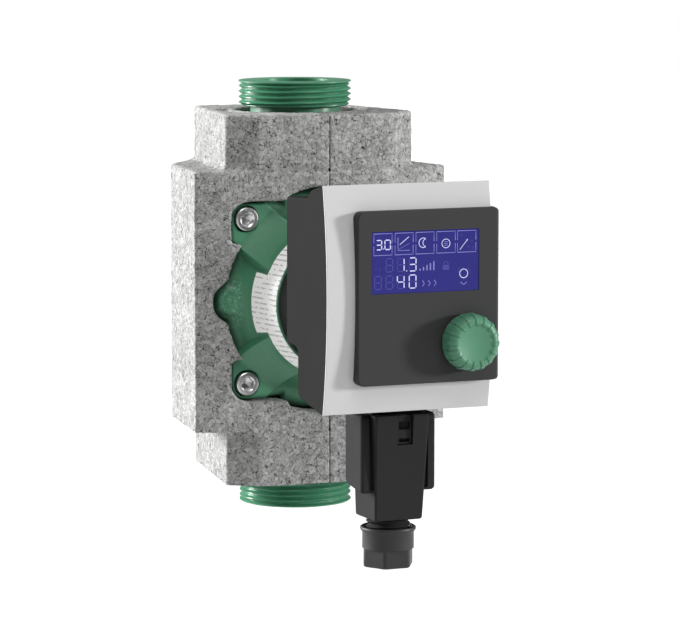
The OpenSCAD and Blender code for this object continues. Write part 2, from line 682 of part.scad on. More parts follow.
// Sprung tongue in the window of the connector's face
module latch_tab() color([0.2, 0.2, 0.2]) plug_frame() difference() {
    block([latch_x - latch_half_w + 0.3, latch_d, latch_low + 0.3],
        [latch_x + latch_half_w - 0.3, latch_d + latch_t, plug_top - 0.3]);
    for (z = [latch_low + 1.3, latch_low + 7])
        block([latch_x - latch_half_w + 0.3 + latch_bar, latch_d - 1, z],
            [latch_x + latch_half_w - 0.3 - latch_bar, latch_d + 3, z + 3]);
}

module cable_seal() color([0.15, 0.15, 0.15]) plug_frame() translate([0, gland_d, 0])
    ring(gland_bore_r - slack, cable_bore_r, gland_low - 0.3, gland_low + 8);

module thrust_ring() color([0.75, 0.75, 0.72]) plug_frame() translate([0, gland_d, 0])
    ring(gland_r - 0.3, cable_bore_r + 0.4, gland_low - 0.4 - thrust_t, gland_low - 0.4);

// Gland nut: rolled flange, round skirt and a hexagon with flats to the front
module gland_nut() color([0.2, 0.2, 0.2]) plug_frame() translate([0, gland_d, 0]) difference() {
    union() {
        ring(nut_flange_r, 1, nut_top - 1.4, nut_top);
        ring(nut_body_r, 1, nut_body_low, nut_top);
        translate([0, 0, nut_low]) cylinder(r = nut_hex_r, h = nut_body_low - nut_low, $fn = 6);
    }
    translate([0, 0, nut_floor]) cylinder(r = gland_r + 0.2, h = 30);
    translate([0, 0, nut_low - 1]) cylinder(r = cable_bore_r, h = 30);
}

// ---- Insulation ------------------------------------------------------------

// Plan of the middle block: a shallow arc in front, sides that close in behind
module mid_plan() intersection() {
    translate([0, front_r - ins_seam_d]) circle(r = front_r, $fn = 720);
    polygon([[-mid_half_w, -60], [mid_half_w, -60], [mid_half_w, -ins_mid_corner_d],
        [mid_half_w - 7.8, 20.5], [31, ins_back], [-31, ins_back],
        [-mid_half_w + 7.8, 20.5], [-mid_half_w, -ins_mid_corner_d]]);
}

module end_plan() intersection() {
    mid_plan();
    polygon([[-end_half_w + 11.4, -60], [end_half_w - 11.4, -60], [end_half_w - 11.4, -36.2],
        [end_half_w, -ins_end_corner_d], [end_half_w - 11.4, 40], [end_half_w - 16, ins_back - 3],
        [-end_half_w + 16, ins_back - 3], [-end_half_w + 11.4, 40], [-end_half_w, -ins_end_corner_d],
        [-end_half_w + 11.4, -36.2]]);
}

module insulation_shell() difference() {
    union() {
        translate([0, 0, axis_z - mid_half_h]) linear_extrude(2 * mid_half_h) mid_plan();
        translate([0, 0, ins_end_gap]) linear_extrude(port_length - 2 * ins_end_gap) end_plan();
    }
    cylinder(r = ins_hole_r, h = port_length);
    motor_axis() {
        translate([0, 0, flange_d - 2]) linear_extrude(60) flange_outline(ins_gap);
        translate([0, 0, -12 - ins_clear]) cylinder(r = plate_rim_r + 2 + ins_clear, h = flange_d + 12);
        translate([0, 0, -20 - ins_clear]) cylinder(r = 30, h = 20);
        translate([0, 0, 7]) linear_extrude(flange_d - 8)
            square(2 * (screw_offset + lug_r + ins_gap), center = true);
    }
    for (z = [ins_end_gap, port_length - ins_end_gap]) translate([0, 0, z]) intersection() {
        ring(32, 28.2, -2.5, 2.5);
        for (s = [0, 180]) rotate([0, 0, s]) linear_extrude(6, center = true)
            polygon([[0, 0], [60, -32], [60, 32]]);
    }
}

module ins_pegs(r, len) for (z = [axis_z - 38, axis_z + 38])
    translate([-len, ins_back - 12, z]) rotate([0, 90, 0]) cylinder(r = r, h = len + 1);

module insulation_left() color([0.55, 0.55, 0.55]) difference() {
    intersection() {
        insulation_shell();
        block([-100, -100, 0], [0, 100, port_length]);
    }
    ins_pegs(peg_r + ins_clear, peg_len + 0.5);
}

module insulation_right() color([0.55, 0.55, 0.55]) union() {
    intersection() {
        insulation_shell();
        block([0, -100, 0], [100, 100, port_length]);
    }
    ins_pegs(peg_r, peg_len);
}

pump_housing();
housing_seal();
wear_ring();
impeller();
shaft();
rotor_magnet();
rotor_sleeve();
thrust_washer();
front_bearing();
rear_bearing();
bearing_plate();
rotor_can();
stator_core();
stator_windings();
motor_leads();
motor_housing();
type_label();
flange_screws();
module_screws();
module_base();
neck_seal();
circuit_board();
board_components();
board_screws();
board_spacers();
power_socket();
socket_pins();
display_board();
lcd_module();
lcd_window();
encoder_body();
switch_dome();
press_plunger();
encoder_shaft();
knob();
control_panel();
module_cover();
connector_body();
contact_carrier();
connector_contacts();
connector_seal();
latch_tab();
cable_seal();
thrust_ring();
gland_nut();
insulation_left();
insulation_right();
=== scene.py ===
"""Looks of a wet-rotor circulator pump, built round its packed construction model.

Lengths in the shape functions are millimetres. Two sets of coordinates are used:
world (x right, y back, z up) and front (x right, y up from the motor axis, d out from
the pipe axis towards the viewer), which `front_to_world` turns into world.
"""
import json
import math

import bmesh
import bpy
import numpy as np
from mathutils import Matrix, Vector


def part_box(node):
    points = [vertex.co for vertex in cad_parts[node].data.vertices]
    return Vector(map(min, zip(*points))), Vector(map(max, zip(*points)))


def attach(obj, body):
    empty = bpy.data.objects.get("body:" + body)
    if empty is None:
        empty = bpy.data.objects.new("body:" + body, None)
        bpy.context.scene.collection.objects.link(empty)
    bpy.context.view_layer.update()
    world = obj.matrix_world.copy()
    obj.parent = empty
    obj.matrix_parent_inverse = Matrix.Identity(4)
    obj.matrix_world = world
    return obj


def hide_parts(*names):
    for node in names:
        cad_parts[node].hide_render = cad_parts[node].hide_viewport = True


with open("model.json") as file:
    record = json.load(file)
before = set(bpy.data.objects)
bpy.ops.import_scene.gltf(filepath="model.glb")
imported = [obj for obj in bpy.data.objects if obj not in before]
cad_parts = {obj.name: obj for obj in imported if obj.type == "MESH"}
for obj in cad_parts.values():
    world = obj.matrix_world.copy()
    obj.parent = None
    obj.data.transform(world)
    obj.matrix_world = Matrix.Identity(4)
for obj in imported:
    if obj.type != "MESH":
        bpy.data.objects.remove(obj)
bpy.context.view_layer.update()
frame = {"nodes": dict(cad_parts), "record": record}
MM = 0.001
nodes = frame["nodes"]
scene = bpy.context.scene
TAU = 2 * math.pi


# ---- Measures taken from the frame ----

def extent(node):
    """Lowest and highest corner of a construction node, in millimetres."""
    return np.array([tuple(c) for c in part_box(node)]) / MM


MOUNTS = {m["name"]: m for m in frame["record"]["mounts"]}
PORT_TOP = extent("pump_housing")[1, 2]
AXIS_Z = PORT_TOP / 2
THREAD_R = MOUNTS["upper_port"]["dims"]["r_mm"]
BORE_R = MOUNTS["upper_port_bore"]["dims"]["r_mm"]
CABLE_R = MOUNTS["cable_entry"]["dims"]["r_mm"]
PIPE_R = 19.1
THREAD_PITCH = 2.309
FLANGE_D = -extent("motor_housing")[1, 1]
MOTOR_END_D = -extent("motor_housing")[0, 1]
SCREW_AT = extent("flange_screws")[1, 0] - 5
SCREWS = [(sx * SCREW_AT, sy * SCREW_AT) for sx in (-1, 1) for sy in (-1, 1)]
SCREW_FACE_D = -extent("flange_screws")[0, 1]
SHELL_ROOT_R, SHELL_NOSE_R = 34.2, 28.5
NOSE_D = FLANGE_D + 29
LUG_R = 6.6
ARM_RISE = 11


# ---- Meshes ----

def front_to_world(points):
    """Turns (x, y up from the motor axis, distance in front) into world millimetres."""
    p = np.asarray(points, float)
    return np.stack([p[..., 0], -p[..., 2], AXIS_Z + p[..., 1]], -1)


def unchanged(points):
    """World millimetres stay as they are."""
    return np.asarray(points, float)


def new_piece(name, mesh):
    """Links an object for a mesh, at the origin."""
    piece = bpy.data.objects.new(name, mesh)
    scene.collection.objects.link(piece)
    return piece


def tidy_mesh(mesh, sharp=32, merge=1e-7, outward=True):
    """Merges doubles, turns faces outwards, and keeps edges over `sharp` degrees crisp."""
    bm = bmesh.new()
    bm.from_mesh(mesh)
    bmesh.ops.remove_doubles(bm, verts=bm.verts, dist=merge)
    bmesh.ops.dissolve_degenerate(bm, dist=merge, edges=bm.edges)
    if outward:
        bmesh.ops.recalc_face_normals(bm, faces=bm.faces)
    else:
        bmesh.ops.dissolve_limit(bm, angle_limit=math.radians(0.06), verts=bm.verts, edges=bm.edges)
    for face in bm.faces:
        face.smooth = True
    for edge in bm.edges:
        edge.smooth = edge.calc_face_angle(0) < math.radians(sharp)
    bm.to_mesh(mesh)
    bm.free()
    return mesh


def solid(name, points, faces, sharp=32):
    """New piece from points in millimetres and lists of face corners."""
    mesh = bpy.data.meshes.new(name)
    mesh.from_pydata((points * MM).tolist(), [], faces)
    return new_piece(name, tidy_mesh(mesh, sharp))


def loft(name, rings, place=unchanged, joined=False, sharp=32):
    """Solid whose skin joins each ring of points to the next.

    rings is (rings, points, 3) in millimetres. The ends are closed by one face each, or the
    last ring meets the first where `joined` is set.
    """
    rings = place(np.asarray(rings, float))
    m, n, _ = rings.shape
    i = np.arange(m if joined else m - 1)[:, None]
    j = np.arange(n)[None, :]
    i2, j2 = (i + 1) % m, (j + 1) % n
    quads = np.stack([i * n + j, i * n + j2, i2 * n + j2, i2 * n + j], -1).reshape(-1, 4)
    ends = [] if joined else [list(range(n))[::-1], list(range((m - 1) * n, m * n))]
    return solid(name, rings.reshape(-1, 3), quads.tolist() + ends, sharp)


def at_level(points, level):
    """Plane points with a third coordinate, one number or one per point."""
    return np.column_stack([points, level + 0 * points[:, 0]])


def around(r, turn, level, centre=(0, 0)):
    """Points at radius r and angle turn about a centre, at a level."""
    x, y = centre[0] + r * np.cos(turn), centre[1] + r * np.sin(turn)
    return np.stack([x, y, level + 0 * turn], -1)


def full_turn(count):
    """Angles that part a turn evenly."""
    return np.linspace(0, TAU, count, endpoint=False)


def rounded(points, radius, steps=5, closed=True):
    """Polyline whose corners become short curves.

    Each corner is a quadratic curve that leaves the sides `radius` before the corner, or at 0.45
    of the shorter side if that is less. radius is one number or one per corner.
    """
    p = np.asarray(points, float)
    r = np.broadcast_to(np.asarray(radius, float), len(p))
    before, after = np.roll(p, 1, 0) - p, np.roll(p, -1, 0) - p
    la, lb = np.linalg.norm(before, axis=1), np.linalg.norm(after, axis=1)
    cut = np.minimum(r, 0.45 * np.minimum(la, lb))
    if not closed:
        cut[[0, -1]] = 0
    a = p + before / np.maximum(la, 1e-9)[:, None] * cut[:, None]
    b = p + after / np.maximum(lb, 1e-9)[:, None] * cut[:, None]
    t = np.linspace(0, 1, steps)[None, :, None]
    out = (1 - t) ** 2 * a[:, None] + 2 * t * (1 - t) * p[:, None] + t ** 2 * b[:, None]
    return out.reshape(-1, p.shape[1])


def inset(outline, amount):
    """Moves a closed plane outline inwards by `amount`, square to the line between neighbours."""
    o = np.asarray(outline, float)
    run = np.roll(o, -1, 0) - np.roll(o, 1, 0)
    run /= np.maximum(np.linalg.norm(run, axis=1), 1e-9)[:, None]
    area = np.sum(o[:, 0] * np.roll(o[:, 1], -1) - np.roll(o[:, 0], -1) * o[:, 1])
    side = np.stack([-run[:, 1], run[:, 0]], 1) * np.sign(area)
    return o + side * np.broadcast_to(amount, len(o))[:, None]


def arc_steps(steps):
    """Angles of a quarter turn, from 0 to 90 degrees."""
    return np.linspace(0, math.pi / 2, steps)


def slab(name, outline, low, high, edge, place=unchanged, steps=4):
    """An outline carried straight from low to high.

    Its rims are rounded by `edge`, one number or one per point of the outline.
    """
    turn = arc_steps(steps)
    rows = [(edge * (1 - math.sin(a)), low + edge * (1 - math.cos(a))) for a in turn]
    rows += [(edge * (1 - math.sin(a)), high - edge * (1 - math.cos(a))) for a in turn[::-1]]
    return loft(name, [at_level(inset(outline, inward), at) for inward, at in rows], place)


def plate(name, outline, face, back, edge, place=unchanged, fill=18, steps=6):
    """A solid with a flat back and a shaped front.

    Rings run from the outline on the back, up its side, round an edge of radius `edge` (one
    number or one per point) and in to the middle. face(x, y) gives the depth of the front.
    """
    r = np.broadcast_to(edge, len(outline))
    rings = [at_level(outline, back)]
    for a in arc_steps(steps):
        ring = inset(outline, r * (1 - math.cos(a)))
        rings.append(at_level(ring, face(*ring.T) - r * (1 - math.sin(a))))
    rim = rings[-1][:, :2]
    middle = rim.mean(0)
    for t in np.linspace(1, 0.02, fill)[1:]:
        ring = middle + (rim - middle) * t
        rings.append(at_level(ring, face(*ring.T)))
    return loft(name, rings, place)


def lathe(name, profile, place=unchanged, count=128, centre=(0, 0), closed=False):
    """Turns a profile of (radius, height) rows about its own axis through `centre`."""
    r, h = np.asarray(profile, float).T[:, :, None]
    return loft(name, around(r, full_turn(count), h, centre), place, joined=closed)


def spaced(*stops):
    """Rising values through (start, step) stops, the last of which is the end alone."""
    parts = [np.arange(a[0], b[0] - 0.3 * a[1], a[1]) for a, b in zip(stops, stops[1:])]
    return np.concatenate(parts + [[stops[-1][0]]])


def height_block(name, xs, ys, front, back, place=unchanged):
    """Closed solid between surfaces front(x, y) and back(x, y) on a grid, its sides straight."""
    x, y = np.meshgrid(xs, ys, indexing="ij")
    levels = [np.stack([x, y, face(x, y) + 0 * x], -1).reshape(-1, 3) for face in (front, back)]
    index = np.arange(x.size).reshape(x.shape)
    corners = [index[:-1, :-1], index[1:, :-1], index[1:, 1:], index[:-1, 1:]]
    quads = np.stack(corners, -1).reshape(-1, 4)
    rim = np.concatenate([index[:-1, 0], index[-1, :-1], index[:0:-1, -1], index[0, :0:-1]])
    sides = np.stack([rim, rim + x.size, np.roll(rim, -1) + x.size, np.roll(rim, -1)], 1)
    faces = np.concatenate([quads, quads[:, ::-1] + x.size, sides])
    return solid(name, place(np.concatenate(levels)), faces.tolist())


def rounded_rectangle(low, high, radius, side_points=12, corner_points=8):
    """Outline of a rectangle whose corners are quarter circles, anticlockwise.

    radius is one number or one per corner, from the lower right one on.
    """
    r = np.broadcast_to(np.asarray(radius, float), 4)
    (x0, y0), (x1, y1) = low, high
    centres = [(x1 - r[0], y0 + r[0]), (x1 - r[1], y1 - r[1]), (x0 + r[2], y1 - r[2]),
               (x0 + r[3], y0 + r[3])]
    turn = np.linspace(-math.pi / 2, 0, corner_points)
    arcs = [around(r[i], turn + i * math.pi / 2, 0, centres[i])[:, :2] for i in range(4)]
    parts = []
    for arc, after in zip(arcs, arcs[1:] + arcs[:1]):
        parts += [arc, np.linspace(arc[-1], after[0], side_points + 2)[1:-1]]
    return np.concatenate(parts)


def join(name, pieces):
    """Makes several pieces one object, keeping their meshes as they are."""
    bm = bmesh.new()
    for piece in pieces:
        bm.from_mesh(piece.data)
        bpy.data.objects.remove(piece)
    mesh = bpy.data.meshes.new(name)
    bm.to_mesh(mesh)
    bm.free()
    return new_piece(name, mesh)


def evaluate(piece):
    """Replaces a piece's mesh by the result of its modifiers."""
    shape = piece.evaluated_get(bpy.context.evaluated_depsgraph_get())
    mesh = bpy.data.meshes.new_from_object(shape)
    piece.modifiers.clear()
    piece.data = mesh


def cut(piece, tools, sharp=32, operation="DIFFERENCE"):
    """Takes the tools' solids out of a piece, or adds them, and removes the tools."""
    for tool in tools:
        step = piece.modifiers.new("cut", "BOOLEAN")
        step.operation, step.solver, step.object = operation, "MANIFOLD", tool
    evaluate(piece)
    for tool in tools:
        bpy.data.objects.remove(tool)
    tidy_mesh(piece.data, sharp, merge=2e-6, outward=False)


def even_shading(piece):
    """Lets the large flat faces rule the shading across the small ones beside them."""
    step = piece.modifiers.new("even_shading", "WEIGHTED_NORMAL")
    step.keep_sharp = True
    return piece


def recast(name, node, voxel, rounds, reshape=None):
    """Copy of a construction node with softened edges.

    Its merged mesh is remade on a voxel grid, then each point moves halfway to its neighbours'
    mean `rounds` times.
    """
    mesh = nodes[node].data.copy()
    tidy_mesh(mesh, merge=1e-6)
    if reshape:
        co = np.array([v.co for v in mesh.vertices])
        mesh.vertices.foreach_set("co", reshape(co / MM).ravel() * MM)
    piece = new_piece(name, mesh)
    remesh = piece.modifiers.new("remesh", "REMESH")
    remesh.mode, remesh.voxel_size = "VOXEL", voxel * MM
    smooth = piece.modifiers.new("smooth", "SMOOTH")
    smooth.factor, smooth.iterations = 0.5, rounds
    evaluate(piece)
    piece.data.polygons.foreach_set("use_smooth", [True] * len(piece.data.polygons))
    return piece


def smooth_max(a, b, k):
    """The larger of two heights, blended over about k."""
    h = np.clip(0.5 + 0.5 * (a - b) / k, 0, 1)
    return b + (a - b) * h + k * h * (1 - h)


def smooth_step(x, low, high):
    """0 below low, 1 above high, and an S curve between."""
    t = np.clip((x - low) / (high - low), 0, 1)
    return t * t * (3 - 2 * t)


# ---- Camera, light and floor ----

AMBIENT = 0.26
FLOOR_HALF, FLOOR_Z = 6, -0.16
VIEW_AZIMUTH, VIEW_ELEVATION, VIEW_DISTANCE = 22.6, 6.7, 1.531
AIM_RIGHT, AIM_UP = 0.0141, 0.0794


def front_left_camera():
    """Long lens, from the front left and a little above."""
    azimuth, elevation = math.radians(VIEW_AZIMUTH), math.radians(VIEW_ELEVATION)
    look = Vector((math.sin(azimuth) * math.cos(elevation),
                   math.cos(azimuth) * math.cos(elevation), -math.sin(elevation)))
    right = Vector((math.cos(azimuth), -math.sin(azimuth), 0))
    aim = Vector((0, 0, AIM_UP)) + right * AIM_RIGHT
    camera = bpy.data.objects.new("camera", bpy.data.cameras.new("camera"))
    scene.collection.objects.link(camera)
    camera.location = aim - look * VIEW_DISTANCE
    camera.rotation_mode = "QUATERNION"
    camera.rotation_quaternion = look.to_track_quat("-Z", "Y")
    camera.data.sensor_width, camera.data.lens = 36, 189.5
    camera.data.shift_x = 0.0178
    camera.data.clip_start, camera.data.clip_end = 0.05, 20
    scene.camera = camera


def sun(name, azimuth, elevation, spread, level):
    """Distant soft light; azimuth turns from the front towards the right, all in degrees.

    A white surface that faces it straight on gains `level` of white.
    """
    light = bpy.data.objects.new(name, bpy.data.lights.new(name, "SUN"))
    light.data.energy, light.data.angle = level * math.pi, math.radians(spread)
    a, e = math.radians(azimuth), math.radians(elevation)
    towards = Vector((math.sin(a) * math.cos(e), -math.cos(a) * math.cos(e), math.sin(e)))
    light.rotation_mode = "QUATERNION"
    light.rotation_quaternion = (-towards).to_track_quat("-Z", "Y")
    scene.collection.objects.link(light)


def studio():
    """White surroundings, soft lights from the left behind, the right and above, a pale floor."""
    world = bpy.data.worlds.new("surroundings")
    world.use_nodes = True
    tree = world.node_tree
    backdrop, soft = tree.nodes["Background"], tree.nodes.new("ShaderNodeBackground")
    backdrop.inputs["Color"].default_value = soft.inputs["Color"].default_value = (1, 1, 1, 1)
    backdrop.inputs["Strength"].default_value, soft.inputs["Strength"].default_value = 1.0, AMBIENT
    seen, either = tree.nodes.new("ShaderNodeLightPath"), tree.nodes.new("ShaderNodeMixShader")
    tree.links.new(seen.outputs["Is Camera Ray"], either.inputs[0])
    tree.links.new(soft.outputs[0], either.inputs[1])
    tree.links.new(backdrop.outputs[0], either.inputs[2])
    tree.links.new(either.outputs[0], tree.nodes["World Output"].inputs[0])
    scene.world = world
    scene.view_settings.view_transform = "Standard"
    sun("back_left", -135, 15, 30, 3.05)
    sun("right", 62, 9, 9, 1.12)
    sun("above_front", 0, 60, 40, 0.62)
    floor = bpy.data.meshes.new("floor")
    corners = [(-1, -1), (1, -1), (1, 1), (-1, 1)]
    floor.from_pydata([(x * FLOOR_HALF, y * FLOOR_HALF, FLOOR_Z) for x, y in corners], [],
                      [(0, 1, 2, 3)])
    floor = new_piece("floor", floor)
    pale = bpy.data.materials.new("pale_floor")
    pale.use_nodes = True
    shader = pale.node_tree.nodes["Principled BSDF"]
    shader.inputs["Base Color"].default_value = (0.65, 0.65, 0.65, 1)
    shader.inputs["Roughness"].default_value = 0.9
    shader.inputs["Specular IOR Level"].default_value = 0
    floor.data.materials.append(pale)


# ---- Materials ----

def linear(*srgb):
    """Linear colour from 8-bit display values."""
    c = np.array(srgb) / 255
    c = np.where(c <= 0.04045, c / 12.92, ((c + 0.055) / 1.055) ** 2.4)
    return (*c.tolist(), 1.0)


def toned(colour, factor, lift=0.0):
    """A colour times a factor, plus a lift, at most 1."""
    return tuple(min(1, c * factor + lift) for c in colour[:3]) + (1,)


class Number:
    """A shader value: arithmetic on it adds Math nodes."""

    def __init__(self, finish, socket):
        self.finish, self.socket = finish, socket

    def math(self, operation, *others):
        """Math node on this value and others, in that order."""
        values = {i: v for i, v in enumerate((self, *others))}
        made = self.finish.node("ShaderNodeMath", {"operation": operation}, values)
        return Number(self.finish, made.outputs[0])

    def reverse(self, operation, other):
        """The same with the other value first."""
        made = self.finish.node("ShaderNodeMath", {"operation": operation}, {0: other, 1: self})
        return Number(self.finish, made.outputs[0])

    def __add__(self, o): return self.math("ADD", o)
    def __sub__(self, o): return self.math("SUBTRACT", o)
    def __mul__(self, o): return self.math("MULTIPLY", o)
    def __truediv__(self, o): return self.math("DIVIDE", o)
    def __rsub__(self, o): return self.reverse("SUBTRACT", o)
    __radd__, __rmul__ = __add__, __mul__

    def step(self, low, high):
        """0 below low, 1 above high, smooth between."""
        made = self.finish.node("ShaderNodeMapRange", {"interpolation_type": "SMOOTHSTEP"},
                                {"Value": self, "From Min": low, "From Max": high})
        return Number(self.finish, made.outputs["Result"])


class Finish:
    """A material with one Principled shader and a pattern on Object coordinates."""

    def __init__(self, name, **constants):
        self.material = bpy.data.materials.new(name)
        self.material.use_nodes = True
        self.tree = self.material.node_tree
        self.shader = self.tree.nodes["Principled BSDF"]
        for socket, value in constants.items():
            self.socket(socket).default_value = value
        self.place = self.node("ShaderNodeTexCoord", {}, {}).outputs["Object"]

    def socket(self, name):
        """The shader's socket of a name written in lower case with underlines."""
        return self.shader.inputs[name.replace("_", " ").title().replace("Ior", "IOR")]

    def node(self, kind, settings, values):
        """A node of a kind: its settings are set first, then its sockets' values or links."""
        made = self.tree.nodes.new(kind)
        for key, value in settings.items():
            setattr(made, key, value)
        for key, value in values.items():
            value = value.socket if isinstance(value, Number) else value
            if isinstance(value, bpy.types.NodeSocket):
                self.tree.links.new(value, made.inputs[key])
            else:
                made.inputs[key].default_value = value
        return made

    def noise(self, scale, detail=3, rough=0.55, place=None):
        """Noise of about 1 / scale metres, from 0 to 1."""
        made = self.node("ShaderNodeTexNoise", {}, {"Vector": place or self.place, "Scale": scale,
                                                    "Detail": detail, "Roughness": rough})
        return Number(self, made.outputs[0])

    def cells(self, scale, feature="F1", output="Distance", place=None):
        """Cell pattern: distance to the nearest point, or each cell's own random colour."""
        made = self.node("ShaderNodeTexVoronoi", {"feature": feature},
                         {"Vector": place or self.place, "Scale": scale})
        return made.outputs[output]

    def axis(self, name):
        """One Object coordinate, in metres."""
        made = self.node("ShaderNodeSeparateXYZ", {}, {0: self.place})
        return Number(self, made.outputs[name])

    def mix(self, share, low, high):
        """Colour between two, by a share from 0 to 1."""
        made = self.node("ShaderNodeMix", {"data_type": "RGBA"}, {0: share, 6: low, 7: high})
        return made.outputs[2]

    def feed(self, **links):
        """Links values to the shader's sockets."""
        for socket, value in links.items():
            value = value.socket if isinstance(value, Number) else value
            self.tree.links.new(value, self.socket(socket))

    def bump(self, height, strength, distance):
        """Relief of `distance` metres where the height is 1."""
        made = self.node("ShaderNodeBump", {}, {"Height": height, "Strength": strength,
                                                "Distance": distance})
        self.feed(normal=made.outputs[0])


def moulded(name, colour, rough=0.5, grain=2600, depth=4e-5, level=0.35, spread=0.12):
    """Injection-moulded plastic: fine eroded grain, with slight cloudy change of tone and gloss."""
    f = Finish(name, specular_ior_level=level)
    fine, cloud = f.noise(grain, 2), f.noise(60, 3)
    dark, light = toned(colour, 1 - spread), toned(colour, 1 + spread)
    f.feed(base_color=f.mix(fine * 0.6 + cloud * 0.4, dark, light))
    f.feed(roughness=cloud * 0.12 + (rough - 0.06))
    f.bump(fine, 0.35, depth)
    return f.material


def cast_paint(name, colour, rough=0.4, scuffed_patch_and_root_shade=False):
    """Painted casting: soft pebbled skin under satin paint.

    The motor's has painted shade darkening the root of its flange, and a pale scuffed patch on one
    cheek.
    """
    f = Finish(name, specular_ior_level=0.5)
    pebble, grit, cloud = f.noise(420, 3), f.noise(1600, 3), f.noise(45, 2)
    paint = f.mix(pebble * 0.5 + cloud * 0.5, toned(colour, 0.84), toned(colour, 1.15))
    relief = pebble * 0.7 + grit * 0.3
    if scuffed_patch_and_root_shade:
        across = (f.axis("Z") - AXIS_Z * MM).math("ABSOLUTE")
        place = (1 - across.step(0.008, 0.013)) * (1 - f.axis("X").step(-0.0375, -0.0355))
        fleck = f.noise(1050, 4, 0.75).step(0.5, 0.6) * place
        paint = f.mix(fleck * 0.7, paint, toned(colour, 1.6, 0.07))
        relief = relief + fleck * 0.6
        # painted shade: the flange's root is darkened where the insulation's pocket shades it
        root = f.axis("Y").step(-(FLANGE_D + 8.4) * MM, -(FLANGE_D + 4.8) * MM)
        paint = f.mix(root * 0.75, paint, toned(colour, 0.18))
    f.feed(base_color=paint, roughness=pebble * 0.14 + cloud * 0.1 + (rough - 0.1))
    f.bump(relief, 0.35, 2.2e-4)
    return f.material


def bead_foam(name):
    """Expanded bead foam: crumpled beads of mixed grey, pale creases, dark pits where they meet."""
    f = Finish(name, specular_ior_level=0.2)
    bend = f.noise(420, 3, 0.6)
    sway = f.node("ShaderNodeTexNoise", {}, {"Vector": f.place, "Scale": 380, "Detail": 2})
    warp = f.node("ShaderNodeVectorMath", {"operation": "MULTIPLY_ADD"},
                  {0: sway.outputs["Color"], 1: (0.0011,) * 3, 2: f.place}).outputs[0]
    bead = f.node("ShaderNodeSeparateColor", {}, {0: f.cells(520, "F1", "Color", warp)})
    tone = Number(f, bead.outputs[0])
    seam = Number(f, f.cells(520, "DISTANCE_TO_EDGE", "Distance", warp))
    small = Number(f, f.cells(1050, "DISTANCE_TO_EDGE", "Distance", warp))
    fine, pits, patch = f.noise(1050, 4, 0.7), f.noise(640, 3, 0.65), f.noise(90, 3)
    gap = 1 - (seam + bend * 0.05).step(0.03, 0.12)
    pit = pits.step(0.55, 0.64) * (1 - (seam + small * 0.5).step(0.08, 0.22))
    crease = (1 - small.step(0.02, 0.09)) * pits.step(0.4, 0.3) * 0.5
    shade = tone * 0.22 + fine * 0.95 + patch * 0.25 - 0.26 - gap * 0.14 - pit * 0.45 + crease * 0.5
    shade = shade.math("MAXIMUM", 0).math("MINIMUM", 1)
    f.feed(base_color=f.mix(shade, linear(38, 38, 40), linear(196, 196, 194)))
    f.feed(roughness=0.95 - fine * 0.15)
    f.bump(fine * 0.35 + tone * 0.15 - gap * 0.4 - pit * 0.6 + crease * 0.2, 0.4, 2.2e-4)
    return f.material


def metal(name, colour, rough, stretch=None, spread=0.25):
    """Bare metal with fine turning or drawing marks."""
    f = Finish(name, metallic=1.0)
    place = f.place
    if stretch:
        place = f.node("ShaderNodeMapping", {}, {"Vector": f.place, "Scale": stretch}).outputs[0]
    marks, cloud = f.noise(900, 3, place=place), f.noise(150, 2)
    f.feed(base_color=f.mix(marks * 0.6 + cloud * 0.4, toned(colour, 1 - spread), colour))
    f.feed(roughness=marks * 0.18 + cloud * 0.1 + (rough - 0.12))
    f.bump(marks, 0.2, 5e-5)
    return f.material


def glass_display(name):
    """Lit blue display behind a clear face, its brightness changing a little in soft clouds."""
    f = Finish(name, roughness=0.22, specular_ior_level=0.2, emission_strength=0.25)
    glow = f.noise(40, 1)
    blue = f.mix(glow, linear(29, 28, 94), linear(33, 32, 103))
    f.feed(base_color=blue, emission_color=blue)
    return f.material


def display_mark(name, colour, strength):
    """Lit segment of the display."""
    f = Finish(name, roughness=0.5, specular_ior_level=0.1, emission_strength=strength)
    tone = f.mix(f.noise(300, 1), toned(colour, 0.92), colour)
    f.feed(base_color=tone, emission_color=tone)
    return f.material


def label_film(name):
    """White film with a few plain grey rules."""
    f = Finish(name, roughness=0.4, specular_ior_level=0.4)
    z = f.axis("Z") - AXIS_Z * MM
    rule = ((z + f.axis("X") * 0.12) / 0.0021).math("FRACT")
    line = rule.step(0.1, 0.16) * (1 - rule.step(0.4, 0.46))
    broken = f.noise(420, 2).step(0.46, 0.5)
    f.feed(base_color=f.mix(line * broken * 0.45, linear(240, 240, 238), linear(70, 70, 72)))
    f.bump(f.noise(800, 2), 0.1, 2e-5)
    return f.material


def dress(finish, *names):
    """Gives construction nodes a finish through their own material slots."""
    for name in names:
        for slot in nodes[name].material_slots:
            slot.link, slot.material = "OBJECT", finish


def mount_piece(piece, finish, slot, body, *replaced):
    """Gives a new piece its finish and body, and hides the nodes it stands for; its record slot is
    not used.
    """
    piece.data.materials.clear()
    piece.data.materials.append(finish)
    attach(piece, body)
    if replaced:
        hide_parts(*replaced)


# ---- Insulation ----

BEAD = 3.2
BLOCK_LINE, LINE_HALF_WIDTH, LINE_DEPTH = 54.45, 0.9, 0.8
BLOCK_HALF_W, BLOCK_FRONT_Y = 31, -28


